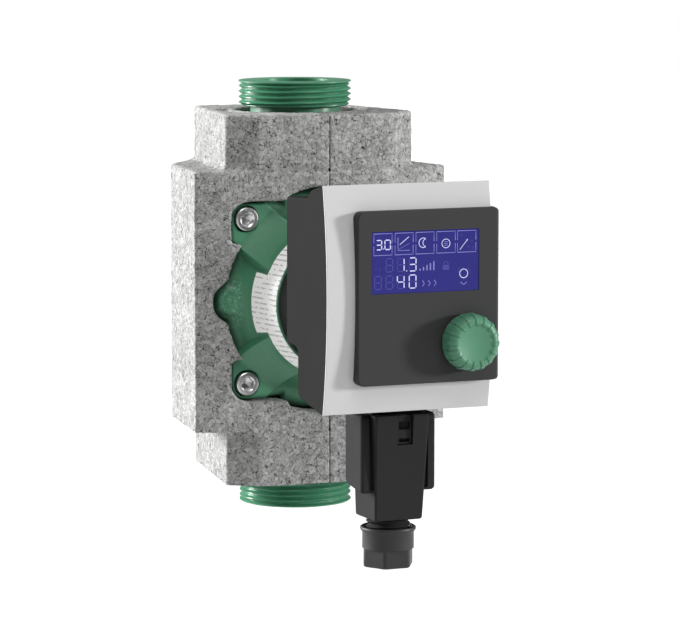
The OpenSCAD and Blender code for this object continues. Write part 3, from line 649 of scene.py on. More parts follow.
def bead_seams(points, size):
    """Nearness to the seams between beads, and a random level for each bead.

    Every cube of side `size` holds one bead centre at a hashed place. The seam value is the
    difference of the distances to the two nearest centres, as a share of the size.
    """
    cell = np.floor(points / size).astype(np.int64)
    near, next_near = np.full(len(points), 9.0), np.full(len(points), 9.0)
    level = np.zeros(len(points))
    primes = np.array([73856093, 19349663, 83492791])
    for step in np.ndindex(3, 3, 3):
        c = cell + np.array(step) - 1
        seed = np.bitwise_xor.reduce(c * primes, axis=1) & 0xFFFFFF
        parts = np.stack([(seed * k + 12345) % 65521 / 65521 for k in (40503, 26339, 51787)], 1)
        distance = np.linalg.norm((c + 0.15 + 0.7 * parts) * size - points, axis=1) / size
        level = np.where(distance < near, parts[:, 0], level)
        next_near = np.where(distance < near, near, np.minimum(next_near, distance))
        near = np.minimum(near, distance)
    return next_near - near, level


def foam_half(node):
    """One half of the insulation: softened edges, dented beads, and a line at the end blocks."""
    piece = recast(node.replace("_", "_half_"), node, 1.05, 3)
    mesh = piece.data
    count = len(mesh.vertices)
    points, normals = np.empty(count * 3), np.empty(count * 3)
    mesh.vertices.foreach_get("co", points)
    mesh.vertices.foreach_get("normal", normals)
    points, normals = points.reshape(-1, 3) / MM, normals.reshape(-1, 3)
    seam, level = bead_seams(points, BEAD)
    dent = 0.22 * (1 - smooth_step(seam, 0, 0.22)) + 0.16 * level
    front = (points[:, 1] < BLOCK_FRONT_Y) & (np.abs(points[:, 0]) < BLOCK_HALF_W)
    for line in (AXIS_Z - BLOCK_LINE, AXIS_Z + BLOCK_LINE):
        near = np.clip(1 - np.abs(points[:, 2] - line) / LINE_HALF_WIDTH, 0, 1)
        dent = dent + LINE_DEPTH * front * near
    mesh.vertices.foreach_set("co", ((points - normals * dent[:, None]) * MM).ravel())
    mesh.update()
    return piece


def insulation(finish):
    """Both halves of the foam shell."""
    for half in ("insulation_left", "insulation_right"):
        mount_piece(foam_half(half), finish, "foam_grey", half, half)


# ---- Pump housing ----

COLLAR_H = 10.8
THREAD_ROOT_R = THREAD_R - 0.64 * THREAD_PITCH


def threaded(radius, root, pitch, low, high, inner, count=144, rows=9, land=0.12, brim=0.0):
    """Rings of a threaded collar open along its bore.

    The outer radius at height z and angle a is the thread's flank at (z / pitch - a / turn), a
    triangle with a flat land, which fades out over half a pitch at both ends. A brim of full
    radius and that height may stand at the low end.
    """
    heights = np.linspace(low, high, int((high - low) / pitch * rows) + 1)
    turn = full_turn(count)
    phase = (heights[:, None] / pitch - turn / TAU) % 1
    flank = np.clip((1 - np.abs(phase * 2 - 1)) * (1 + 2 * land) - land, 0, 1)
    ends = smooth_step(np.minimum(heights - low, high - heights), 0, 0.5 * pitch)[:, None]
    if brim:
        rest = heights[:, None] - low
        ends = smooth_step(rest, brim + 0.6, brim + 1.4) * ends
        flank = np.maximum(flank * ends, 1 - smooth_step(rest, brim, brim + 0.9))
        ends = 1
    r = root + (radius - root) * flank * ends
    rows = [(inner, low), (r[0] - 0.3, low), *zip(r, np.clip(heights, low + 0.2, high - 0.35)),
            (r[-1] - 0.4, high), (inner, high)]
    return np.array([around(row, turn, z) for row, z in rows])


def pump_body(finish, face_finish):
    """Cast volute and pipes, with a turned and threaded collar at each end."""
    def trim(points):
        """Draws the ends of the casting in, under the collars."""
        r = np.hypot(points[:, 0], points[:, 1])
        ends = np.minimum(points[:, 2], PORT_TOP - points[:, 2])
        pull = (ends < COLLAR_H + 2.5) & (r > PIPE_R)
        points[:, :2] *= np.where(pull, (PIPE_R - 0.3) / np.maximum(r, 1), 1)[:, None]
        points[:, 2] = np.clip(points[:, 2], 0.6, PORT_TOP - 0.6)
        return points
    body = recast("pump_casting", "pump_housing", 1.3, 5, reshape=trim)
    mount_piece(body, finish, "cast_green", "pump", "pump_housing")
    rings = threaded(THREAD_R, THREAD_ROOT_R, THREAD_PITCH, 0, COLLAR_H, BORE_R - 0.05, brim=0.5)
    turned_over = rings * [1, -1, -1] + [0, 0, PORT_TOP]
    for name, collar in (("lower_thread", rings), ("upper_thread", turned_over)):
        piece = loft(name, collar, joined=True, sharp=38)
        mount_piece(piece, face_finish, "cast_green", "pump")


# ---- Motor ----

FLANGE_R = 43.4
BROW_R, BROW_HALF = 46.8, 17.3
CHEEK_X, CHEEK_R = 40, 8.4
CAVITY_R, STATOR_R, MOUTH_R = 32.5, 24.2, 26.2
ARM_HALF_W, ARM_FOOT = 10.4, 43.5


def disc_exit(turn, centre, radius):
    """Distance from the origin at which a ray leaves a disc, 0 where it misses."""
    along = centre[0] * np.cos(turn) + centre[1] * np.sin(turn)
    inside = radius ** 2 - centre[0] ** 2 - centre[1] ** 2 + along ** 2
    leave = along + np.sqrt(np.maximum(inside, 0))
    return np.where((inside > 0) & (leave > 0), leave, 0)


def box_exit(turn, low, high):
    """Distance at which a ray from the origin leaves a box of the first quarter, 0 if it misses."""
    c, s = np.maximum(np.cos(turn), 1e-9), np.maximum(np.sin(turn), 1e-9)
    enter = np.maximum(low[0] / c, low[1] / s)
    leave = np.minimum(high[0] / c, high[1] / s)
    return np.where((leave > enter) & (np.cos(turn) > 0) & (np.sin(turn) > 0), leave, 0)


def flange_radius(turn):
    """Outline of the motor flange: the farthest of a disc, a brow, a cheek, a lug and two webs.

    Each is worked out in the first quarter and mirrored; a short Hann window rounds the corners.
    """
    quarter = np.abs((turn + math.pi / 2) % math.pi - math.pi / 2)
    reach = SCREW_AT + LUG_R
    r = np.max([FLANGE_R + 0 * turn,
                np.minimum(BROW_R, BROW_HALF / np.maximum(np.abs(np.cos(turn)), 1e-9)),
                disc_exit(quarter, (CHEEK_X, 0), CHEEK_R),
                disc_exit(quarter, (SCREW_AT, SCREW_AT), LUG_R),
                box_exit(quarter, (20, 25), (reach, SCREW_AT)),
                box_exit(quarter, (12, 20), (SCREW_AT, reach))], 0)
    width = max(3, len(turn) // 240)
    kernel = np.hanning(2 * width + 1)
    wrapped = np.concatenate([r[-width:], r, r[:width]])
    return np.convolve(wrapped, kernel / kernel.sum(), "valid")


def casting_height(x, y):
    """Depth of the casting's front at a point, the largest of these, blended together.

    The shell is a cone between two radii. The dome rises inwards by a power of the way in. Each
    arm is a ridge on a diagonal, higher towards the middle, with steep sides. A cheek is a boss.
    """
    r = np.hypot(x, y)
    shell = NOSE_D - (r - SHELL_NOSE_R) * (NOSE_D - FLANGE_D - 13) / (SHELL_ROOT_R - SHELL_NOSE_R)
    dome = FLANGE_D + 4.7 + 8.6 * np.clip((43.6 - r) / 9.4, 0, 1) ** 1.6
    height = smooth_max(np.minimum(shell, NOSE_D), dome, 2.0)
    for sx, sy in ((1, 1), (1, -1)):
        along = np.abs(x * sx + y * sy) / math.sqrt(2)
        across = np.abs(x * sy - y * sx) / math.sqrt(2)
        top = FLANGE_D + 9.5 + ARM_RISE * np.clip((ARM_FOOT - along) / 13, 0, 1) ** 1.4
        side = smooth_step(across, ARM_HALF_W, ARM_HALF_W + 2.8) * 14
        height = smooth_max(height, top - side, 1.8)
    cheek = np.hypot(np.abs(x) - CHEEK_X, y)
    return smooth_max(height, FLANGE_D + 7.6 - smooth_step(cheek, 4.8, 9) * 6, 2.0)


def motor_casting(finish):
    """Motor shell and flange, rings of radii about the motor axis, drilled for the screws.

    The flange's rim is a quarter circle, larger away from the lugs.
    """
    turn = full_turn(960)
    outline = flange_radius(turn)

    def surface(r):
        """A ring of radius r on the casting's front."""
        return r, casting_height(r * np.cos(turn), r * np.sin(turn))
    from_lug = np.abs((turn + math.pi / 4) % (math.pi / 2) - math.pi / 4)
    from_lug = np.abs(from_lug - math.pi / 4)
    rim = 2.0 + 1.6 * smooth_step(from_lug, 0.24, 0.36)
    rings = [(0.5, NOSE_D + 23), (STATOR_R, NOSE_D + 23), (STATOR_R, FLANGE_D + 10),
             (CAVITY_R, FLANGE_D + 10), (CAVITY_R, FLANGE_D), (outline - 0.5, FLANGE_D),
             (outline, FLANGE_D + 0.5)]
    for a in arc_steps(6):
        r = outline - rim * (1 - math.cos(a))
        top = surface(np.minimum(r, outline - 0.8))[1]
        rings.append((r, top - rim * (1 - math.sin(a))))
    for t in np.linspace(0, 1, 52)[1:]:
        rings.append(surface((outline - rim) * (1 - t) + SHELL_ROOT_R * t))
    rings += [surface(r) for r in np.linspace(SHELL_ROOT_R, SHELL_NOSE_R, 24)[1:]]
    rings += [(SHELL_NOSE_R - 0.3, NOSE_D), (MOUTH_R, NOSE_D), (MOUTH_R, MOTOR_END_D),
              (0.5, MOTOR_END_D)]
    shell = loft("motor_casting", [around(r, turn, d) for r, d in rings], front_to_world, sharp=50)
    rows = [(0.5, -5), (3.1, -5), (3.1, 5), (5.6, 5), (5.6, 9.2), (6.1, 9.7), (6.1, 30), (0.5, 30)]
    rows = np.array(rows) + [0, FLANGE_D]
    cut(shell, [lathe("drill", rows, front_to_world, 64, centre) for centre in SCREWS], 45)
    mount_piece(shell, finish, "shell_green", "pump", "motor_housing")


def hexagon(turn, corner_r, start=0.0):
    """Radius of a hexagon at each angle, its first corner at `start`."""
    off = (turn - start) % (math.pi / 3) - math.pi / 6
    return corner_r * math.cos(math.pi / 6) / np.cos(off)


def socket_screw(centre, top, turn_by):
    """Socket head: a chamfered drum whose round mouth leads into a hexagonal recess."""
    turn = full_turn(96)
    rings = [(0.2, -6.05), (4.6, -6.05), (5.0, -5.6), (5.0, -0.75), (4.85, -0.3), (4.5, -0.05),
             (4.2, 0), (3.25, 0), (3.05, -0.12), (hexagon(turn, 2.9, turn_by), -0.45),
             (hexagon(turn, 2.9, turn_by), -2.9), (hexagon(turn, 2.7, turn_by), -3.0), (0.2, -3.6)]
    points = [around(r, turn, top + d, centre) for r, d in rings]
    return loft("screw", points, front_to_world, sharp=24)


def flange_screws(finish):
    """Four socket-head screws, each with its shank."""
    shank = np.array([(0.2, -12), (2.6, -12), (3.0, -11.4), (3.0, 5.2), (0.2, 5.2)]) + [0, FLANGE_D]
    screws = []
    for i, centre in enumerate(SCREWS):
        screws.append(socket_screw(centre, SCREW_FACE_D, 0.3 + 0.35 * i))
        screws.append(lathe("shank", shank, front_to_world, 48, centre))
    mount_piece(join("socket_head_screws", screws), finish, "screw_steel", "pump", "flange_screws")


# ---- Module ----

BASE = extent("module_base")
PANEL = extent("control_panel")
LCD = extent("lcd_window")
BASE_BACK_D = MOTOR_END_D
BASE_FRONT_D = -BASE[0, 1]
HALF_W = BASE[1, 0]
MOD_Y0, MOD_Y1 = BASE[:, 2] - AXIS_Z
PANEL_D = -PANEL[0, 1]
PANEL_Y0, PANEL_Y1 = PANEL[:, 2] - AXIS_Z
MOD_MID = (MOD_Y0 + MOD_Y1) / 2
COVER_BULGE = 4.3
COVER_CROWN_D = BASE_FRONT_D + COVER_BULGE
COVER_R = (((MOD_Y1 - MOD_Y0) / 2) ** 2 + COVER_BULGE ** 2) / (2 * COVER_BULGE)
COVER_SKIN, COVER_EDGE = 0.55, 0.3
WALL = 2.4
NECK_IN_R, NECK_OUT_R = 26.4, 28.0


def module_back(finish):
    """Dark moulded base: a stepped side outline carried across the width, hollowed, with its neck.

    The outline's front is the cover's own curve, one skin's thickness behind it.
    """
    back = BASE_BACK_D
    ys = np.linspace(MOD_Y1, MOD_Y0, 28)
    front = np.column_stack([cover_depth(0, ys) - COVER_SKIN, ys])
    outline = np.concatenate([
        [(back, MOD_Y1 - 7), (back + 22.6, MOD_Y1 - 6), (back + 24.8, MOD_Y1 - 2.8)], front,
        [(back + 11.8, MOD_Y0 + 3.9), (back + 11.8, -13.5), (back + 9, -12), (back, -12)]])
    outline = rounded(outline, [1.8, 1.8, 1.8] + [0.5] * len(front) + [3, 1.6, 1.6, 1.6], 6)
    edge = 0.2 + 0.8 * (1 - smooth_step(outline[:, 0], BASE_FRONT_D - 6, BASE_FRONT_D - 2))

    def across(points):
        """Takes (depth, up, right) to world."""
        return front_to_world(points[..., [2, 1, 0]])
    shell = slab("module_back", outline, -HALF_W, HALF_W, edge, across, steps=6)
    room = [(back + WALL, MOD_Y1 - 9.4), (back + 25.5, MOD_Y1 - 8.4), (back + 28, MOD_Y1 - 5.6),
            (BASE_FRONT_D + 9, MOD_Y1 - 3.2), (BASE_FRONT_D + 9, MOD_Y0 + WALL),
            (back + 14, MOD_Y0 + 6.3), (back + 14, -9.6), (back + WALL, -9.6)]
    cut(shell, [slab("room", rounded(room, 1, 3), WALL - HALF_W, HALF_W - WALL, 0.5, across)])
    rows = [(NECK_IN_R, NOSE_D + 0.4), (NECK_OUT_R - 0.4, NOSE_D + 0.4), (NECK_OUT_R, NOSE_D + 0.8),
            (NECK_OUT_R, back + 10), (NECK_IN_R, back + 10)]
    neck = lathe("neck", rows, front_to_world, 160, closed=True)
    whole = join("module_back", [shell, neck])
    mount_piece(even_shading(whole), finish, "module_dark", "pump", "module_base")


def cover_depth(x, y):
    """Front of the cover: a cylinder about a cross axis."""
    return COVER_CROWN_D - COVER_R + np.sqrt(COVER_R ** 2 - (y - MOD_MID) ** 2) + 0 * x


def rimmed(x, y):
    """Front of the cover, its outer rim a quarter circle of radius COVER_EDGE."""
    edge = COVER_EDGE
    u = np.maximum(edge - (HALF_W - np.abs(x)), 0)
    v = np.maximum(edge - ((MOD_Y1 - MOD_Y0) / 2 - np.abs(y - MOD_MID)), 0)
    reach = np.minimum(np.hypot(u, v), edge)
    return cover_depth(x, y) - edge + np.sqrt(edge ** 2 - reach ** 2)


def front_cover(finish):
    """Convex pale skin on a hollow core, with a window behind the panel."""
    rim = COVER_EDGE * (1 - np.cos(arc_steps(4)))
    xs = np.concatenate([rim - HALF_W, spaced((1 - HALF_W, 4), (HALF_W - 1, 1)),
                         (HALF_W - rim)[::-1]])
    ys = np.concatenate([MOD_Y0 + rim, spaced((MOD_Y0 + 1.2, 1.2), (MOD_Y1 - 1.2, 1)),
                         (MOD_Y1 - rim)[::-1]])

    def under(inward):
        """The cover's curve moved in by `inward`."""
        return lambda x, y: cover_depth(x, y) - inward

    def block(name, wall, inward, depth):
        """Block that stands off the sides by `wall`, from under the curve to behind the base."""
        return height_block(name, np.linspace(wall - HALF_W, HALF_W - wall, 3),
                            np.linspace(MOD_Y0 + wall, MOD_Y1 - wall, 40), under(inward),
                            lambda x, y: BASE_FRONT_D - depth, front_to_world)
    cover = height_block("front_cover", xs, ys, rimmed, under(COVER_SKIN), front_to_world)
    cut(cover, [block("core", 2.6, COVER_SKIN / 2, 1)], operation="UNION")
    hole = rounded_rectangle((PANEL[0, 0] + 3.4, PANEL_Y0 + 3.4), (HALF_W - 5, PANEL_Y1 - 3.4), 2)
    window = slab("window", hole, BASE_FRONT_D - 5, PANEL_D + 4, 0.1, front_to_world)
    cut(cover, [block("room", 4.4, 2.2, 9), window])
    mount_piece(even_shading(cover), finish, "cover_grey", "pump", "module_cover")


def control_panel(finish):
    """Dark panel, round at its left corners; its right edge wraps round the module's side."""
    x0, x1 = PANEL[0, 0], PANEL[1, 0]
    outline = rounded_rectangle((x0, PANEL_Y0), (x1, PANEL_Y1), [1.6, 1.6, 3.0, 3.0], 30)
    edge = 0.7 + 0.7 * smooth_step(outline[:, 0], x1 - 3, x1 - 1.2)
    panel = plate("control_panel_front", outline, lambda x, y: PANEL_D + 0 * x,
                  BASE_FRONT_D + 0.8, edge, front_to_world, 24, 8)
    lip = rounded_rectangle((HALF_W + 0.12, -PANEL[1, 1]), (x1 - 0.02, BASE_FRONT_D + 3), 0.5, 2, 4)

    def upright(points):
        """Takes (right, depth, up) to world."""
        return front_to_world(points[..., [0, 2, 1]])
    wrap = slab("lip", lip, PANEL_Y0 + 0.02, PANEL_Y1 - 0.02, 0.4, upright)
    cut(panel, [wrap], operation="UNION")
    seat = height_block("seat", [-HALF_W - 9, HALF_W + 0.1], np.linspace(MOD_Y0, MOD_Y1, 60),
                        lambda x, y: cover_depth(x, y) + 0.08, lambda x, y: BASE_FRONT_D - 9,
                        front_to_world)
    glass = slab("glass", rounded_rectangle(LCD_LOW, LCD_HIGH, 0.5, 4, 4), BASE_FRONT_D - 1,
                 PANEL_D + 1, 0.05, front_to_world)
    rows = [(0.5, BASE_FRONT_D - 2), (6.2, BASE_FRONT_D - 2), (6.2, PANEL_D - 0.3),
            (6.5, PANEL_D + 0.1), (6.5, PANEL_D + 2), (0.5, PANEL_D + 2)]
    hole = lathe("hole", rows, front_to_world, 64, KNOB_AT)
    inner = rounded_rectangle((x0 + 3.3, PANEL_Y0 + 3.3), (HALF_W - 3.3, PANEL_Y1 - 3.3), 2, 6, 5)
    room = slab("room", inner, BASE_FRONT_D - 3, PANEL_D - 2, 0.1, front_to_world)
    cut(panel, [seat, glass, hole, room])
    mount_piece(even_shading(panel), finish, "panel_dark", "pump", "control_panel")


# ---- Display ----

LCD_LOW, LCD_HIGH = (LCD[0, 0], LCD[0, 2] - AXIS_Z), (LCD[1, 0], LCD[1, 2] - AXIS_Z)
KNOB_BOX = extent("knob")
KNOB_AT = ((KNOB_BOX[0, 0] + KNOB_BOX[1, 0]) / 2, (KNOB_BOX[0, 2] + KNOB_BOX[1, 2]) / 2 - AXIS_Z)
KNOB_BACK_D, KNOB_FRONT_D = -KNOB_BOX[1, 1], -KNOB_BOX[0, 1]
SEGMENTS = {"a": ((0, 1), (1, 1)), "b": ((1, 1), (1, 0.5)), "c": ((1, 0.5), (1, 0)),
            "d": ((0, 0), (1, 0)), "e": ((0, 0), (0, 0.5)), "f": ((0, 0.5), (0, 1)),
            "g": ((0, 0.5), (1, 0.5))}
DIGITS = {0: "abcdef", 1: "bc", 3: "abcdg", 4: "bcfg", 8: "abcdefg"}


def circle(centre, radius, start=0, end=360, count=28):
    """Points along an arc, in degrees from start to end."""
    turn = np.radians(np.linspace(start, end, count))
    return around(radius, turn, 0, centre)[:, :2]


def dot(centre, radius, count=8):
    """Small ring that fills to a dot."""
    return circle(centre, radius, count=count)


def digit(marks, tone, ghost, low, size, value):
    """Seven-segment figure; its unlit segments are drawn in the ghost tone, if one is given."""
    for key, (a, b) in SEGMENTS.items():
        lit = key in DIGITS[value]
        if not lit and not ghost:
            continue
        a, b = np.array(a, float), np.array(b, float)
        run = (b - a) * 0.11 / np.maximum(np.abs(b - a).max(), 1e-9) * [1, 0.5]
        ends = np.array([a + run, b - run]) * size + low
        marks[tone if lit else ghost].append((ends, 0.42 if lit else 0.3))


def display_strokes(width, height):
    """Strokes of the display by tone, each a line of points and its width, in millimetres."""
    marks = {"bright": [], "mid": [], "dim": []}

    def at(u, v):
        """Place at shares of the display's width from the left and of its height from the top."""
        return np.array([u * width, (1 - v) * height])

    def draw(tone, points, line, origin=(0, 0)):
        """Adds a stroke of width `line`."""
        marks[tone].append((np.add(points, origin), line))
    gap = 0.07 * (at(0, 0.03)[1] - at(0, 0.376)[1])
    for u0, u1 in ((0.023, 0.190), (0.218, 0.385), (0.411, 0.579), (0.604, 0.777), (0.798, 0.970)):
        (xa, ya), (xb, yb) = at(u0, 0.376), at(u1, 0.03)
        mid = (ya + yb) / 2
        for y, away in ((ya, -gap), (yb, gap)):
            draw("mid", [(xa, mid + away), (xa, y), (xb, y), (xb, mid + away)], 0.22)
    size = np.array([0.05 * width, 0.15 * height])
    digit(marks, "bright", None, at(0.045, 0.285), size, 3)
    digit(marks, "bright", None, at(0.125, 0.285), size, 0)
    draw("bright", dot(at(0.112, 0.275), 0.1), 0.22)
    draw("mid", [at(0.245, 0.1), at(0.245, 0.31), at(0.355, 0.31)], 0.24)
    draw("mid", [at(0.25, 0.29), at(0.35, 0.2)], 0.12)
    draw("bright", [at(0.262, 0.215), at(0.345, 0.095)], 0.26)
    moon = at(0.48, 0.2)
    draw("bright", circle(moon, 1.9, 60, 300), 0.26)
    draw("bright", circle(moon + [1.35, 0], 1.55, 100, 260), 0.24)
    dial = at(0.69, 0.225)
    draw("bright", circle(dial, 1.75), 0.26)
    for s in (-1, 0, 1):
        draw("mid", [(-0.8, s * 0.7), (0.8, s * 0.7)], 0.22, dial)
    draw("bright", [at(0.82, 0.335), at(0.885, 0.19)], 0.22)
    draw("bright", dot(at(0.89, 0.18), 0.16), 0.3)
    for u, v in ((0.835, 0.1), (0.93, 0.2), (0.9, 0.29), (0.94, 0.31)):
        draw("dim", dot(at(u, v), 0.4, 12), 0.14)
    spot = at(0.058, 0.6)
    for s in (-1, 1):
        draw("dim", [(s * 0.5, 0.55), (s * 1.2, 0), (s * 0.5, -0.55)], 0.2, spot)
    tall = np.array([0.062 * width, 0.21 * height])
    for u, v, value, tone in ((0.135, 0.645, 8, "dim"), (0.24, 0.645, 1, "bright"),
                              (0.35, 0.645, 3, "bright"), (0.03, 0.92, 8, "dim"),
                              (0.135, 0.92, 8, "dim"), (0.24, 0.92, 4, "bright"),
                              (0.35, 0.92, 0, "bright")):
        digit(marks, tone, "dim" if tone == "bright" else None, at(u, v), tall, value)
    draw("bright", dot(at(0.326, 0.64), 0.12), 0.26)
    for v in (0.77, 0.86):
        draw("dim", dot(at(0.219, v), 0.1), 0.2)
    lock = at(0.69, 0.61)
    draw("dim", [(-1.4, 0), (1.4, 0)], 2.0, lock)
    draw("dim", circle((0, 0.3), 0.95, 0, 180, 14), 0.36, lock + [0, 1])
    turn_at = at(0.857, 0.72)
    draw("bright", circle(turn_at, 1.75), 0.28)
    for start, end in ((15, 55), (125, 165)):
        draw("dim", circle(turn_at, 2.8, start, end, 10), 0.24)
    for i in range(5):
        u = 0.45 + 0.032 * i
        draw("mid", [at(u, 0.645), at(u, 0.615 - 0.028 * i)], 0.5)
    for i in range(3):
        draw("mid", [(-0.85, 1.15), (0, 0), (-0.85, -1.15)], 0.26, at(0.49 + 0.055 * i, 0.855))
    draw("mid", [(-1.3, -3.4), (0, -4.5), (1.3, -3.4)], 0.26, turn_at)
    return marks


def ribbons(name, strokes, low, base, thick):
    """Flat closed strips along each stroke, offset half a width to each side of its run."""
    verts, faces, count = [], [], 0
    for points, width in strokes:
        run = np.gradient(points, axis=0)
        run /= np.maximum(np.linalg.norm(run, axis=1), 1e-9)[:, None]
        side = np.stack([-run[:, 1], run[:, 0]], 1)
        turned = np.abs((side * np.roll(side, 1, 0)).sum(1))[:, None]
        side = side / np.where(turned > 0.5, 1, 0.7071) * width / 2
        left, right = points + side + low, points - side + low
        n = len(points)
        verts += [at_level(p, d) for d in (base, base + thick) for p in (left, right)]
        i = count + np.arange(n - 1)
        for a, b in ((2, 3), (1, 0), (0, 2), (3, 1)):
            faces.append(np.stack([i + a * n, i + b * n, i + b * n + 1, i + a * n + 1], 1))
        ends = [[0, n, 3 * n, 2 * n], [3 * n - 1, 4 * n - 1, 2 * n - 1, n - 1]]
        faces.append(count + np.array(ends))
        count += 4 * n
    return solid(name, front_to_world(np.concatenate(verts)), np.concatenate(faces).tolist())


def display(glass_finish, tones):
    """Blue window with its lit and unlit figures."""
    glass_d = -LCD[0, 1]
    outline = rounded_rectangle(LCD_LOW, LCD_HIGH, 0.45, 6, 5)
    window = plate("display_window", outline, lambda x, y: glass_d - 0.05 + 0 * x, -LCD[1, 1],
                   0.12, front_to_world)
    mount_piece(window, glass_finish, "display_blue", "pump", "lcd_window")
    width, height = np.subtract(LCD_HIGH, LCD_LOW)
    for tone, strokes in display_strokes(width, height).items():
        piece = ribbons(f"display_marks_{tone}", strokes, np.array(LCD_LOW), glass_d - 0.045, 0.05)
        mount_piece(piece, tones[tone], "display_blue", "pump")


# ---- Knob ----

def knob(finish, ribs=16):
    """Turned knob with a dished face and fine ribs that run up its side and over its rim.

    Each ring of the turned profile has its points in step with the ribs: a rib is a fixed width
    in millimetres at every radius, and stands out along the profile's normal.
    """
    length = KNOB_FRONT_D - KNOB_BACK_D
    profile = [(3.1, 0.3), (4.6, 0.0), (11.2, 0.0), (11.4, 1.2), (10.9, length - 2.6),
               (9.6, length - 0.75), (8.2, length - 0.25), (7.3, length - 0.7),
               (3.6, length - 1.4), (0.08, length - 1.6)]
    profile = rounded(profile, [0.1, 0.2, 0.5, 0.8, 1.6, 0.8, 0.8, 0.7, 2, 0.02], 7, closed=False)
    step = np.linalg.norm(np.diff(profile, axis=0), axis=1)
    profile = profile[np.concatenate([[True], step > 1e-4])]
    run = np.gradient(profile, axis=0)
    run /= np.linalg.norm(run, axis=1)[:, None]
    normal = np.stack([run[:, 1], -run[:, 0]], 1)
    side = smooth_step(profile[:, 1], 0.8, 1.8)
    over = np.where(profile[:, 0] < 9.5, smooth_step(profile[:, 0], 6.9, 7.7), 1)
    stand = 0.34 * side * over
    pitch = TAU / ribs
    widest = 0.35 * pitch
    rib = np.array([-0.3, -0.18, -0.09, 0.09, 0.18, 0.3])
    lift = np.array([0, 0.8, 1, 1, 0.8, 0])
    between = np.linspace(0, 1, 8)[1:-1]
    rings = []
    for (r, h), out, amount in zip(profile, normal, stand):
        reach = np.minimum(rib / max(r, 0.1), widest * np.sign(rib))
        reach = np.clip(reach, -widest, widest)
        gap = reach[-1] + between * (pitch + reach[0] - reach[-1])
        turn = (full_turn(ribs)[:, None] + np.concatenate([reach, gap]) + math.pi / 2).ravel()
        raised = np.tile(np.concatenate([lift, 0 * gap]) * amount, ribs)
        rings.append(around(r + out[0] * raised, turn, KNOB_BACK_D + h + out[1] * raised, KNOB_AT))
    piece = loft("turn_knob", rings, front_to_world, sharp=34)
    mount_piece(piece, finish, "knob_green", "knob", "knob")


# ---- Connector ----

PLUG = extent("connector_body")
NUT = extent("gland_nut")
LATCH = extent("latch_tab")
PLUG_TOP = PLUG[1, 2]
GLAND_LOW = PLUG[0, 2]
PLUG_LOW = GLAND_LOW + 10.3
GLAND_Y = (NUT[0, 1] + NUT[1, 1]) / 2
GLAND_R = 9.0
CHANNEL_X, CHANNEL_HALF = 11.75, 1.1


def plan_ring(x_half, y_front, y_back, radius, z):
    """Level ring of a box with rounded corners."""
    return at_level(rounded_rectangle((-x_half, y_front), (x_half, y_back), radius, 3, 6), z)


def swapped(points):
    """Exchanges the last two coordinates."""
    return points[..., [0, 2, 1]]


def connector_shell(finish):
    """Plug body: a block that narrows downwards, channelled wings and a threaded gland."""
    back, top, low = -90.4, PLUG_TOP, PLUG_LOW
    rows = [(9.8, -110.3, low), (10.25, -110.75, low + 0.25), (10.5, -111.0, low + 0.9),
            (11.9, -114.5, top - 0.7), (11.65, -114.25, top - 0.15), (11.3, -113.9, top)]
    block = loft("block", [plan_ring(x, y, back, 1.1, z) for x, y, z in rows], sharp=30)
    wing_half = PLUG[1, 0]
    outline = [(-93.2, low + 13.7), (-93.2, top), (-110.6, top), (-110.6, low + 11.2)]
    wings = slab("wings", rounded(outline, [2.6, 2.4, 2.4, 2.6]), -wing_half, wing_half, 1.6,
                 lambda points: points[..., [2, 0, 1]], steps=6)
    channels = []
    for x in (-CHANNEL_X, CHANNEL_X):
        channel = rounded_rectangle((x - CHANNEL_HALF, -114), (x + CHANNEL_HALF, -108.6), 0.7, 2, 4)
        channels.append(slab("channel", channel, low + 12.6, top + 3, 0.7))
    cut(wings, channels, 30)
    cut(block, [wings], operation="UNION")
    mouth = rounded_rectangle((-11.3, -108.4), (11.3, -92.6), 0.8, 3, 4)
    chamber = rounded_rectangle((-7.9, -107), (7.9, -94), 1, 3, 4)
    latch = rounded_rectangle((LATCH[0, 0] - 0.3, -118), (LATCH[1, 0] + 0.3, LATCH[1, 1] + 0.4),
                              0.3, 2, 3)
    cut(block, [slab("mouth", mouth, top - 6.4, top + 2, 0.1),
                slab("chamber", chamber, low + 2, top - 8.4, 0.3),
                slab("latch_room", latch, LATCH[0, 2] - 0.3, top + 3, 0.1)], 30)
    rows = threaded(GLAND_R, 7.9, 2.3, GLAND_LOW, low + 0.6, 7.1, 96, 9, 0.16) + [0, GLAND_Y, 0]
    gland = loft("gland", rows, joined=True, sharp=45)
    whole = join("connector_shell", [block, gland])
    mount_piece(even_shading(whole), finish, "plug_dark", "connector", "connector_body")


def latch_tongue(finish):
    """Sprung tongue with a wide bar between its two openings."""
    (x0, y0, z0), (x1, y1, z1) = LATCH
    outline = rounded_rectangle((x0, z0), (x1, z1), 0.4, 4, 4)
    tongue = slab("latch_tongue", outline, y0, y1, 0.15, swapped)
    gaps = []
    for low, high in ((z0 + 0.7, z0 + 2.3), (z0 + 5.8, z1 - 2.5)):
        gap = rounded_rectangle((x0 + 0.6, low), (x1 - 0.6, high), 0.3, 3, 4)
        gaps.append(slab("gap", gap, y0 - 1, y1 + 1, 0.05, swapped))
    cut(tongue, gaps)
    mount_piece(even_shading(tongue), finish, "plug_dark", "latch", "latch_tab")


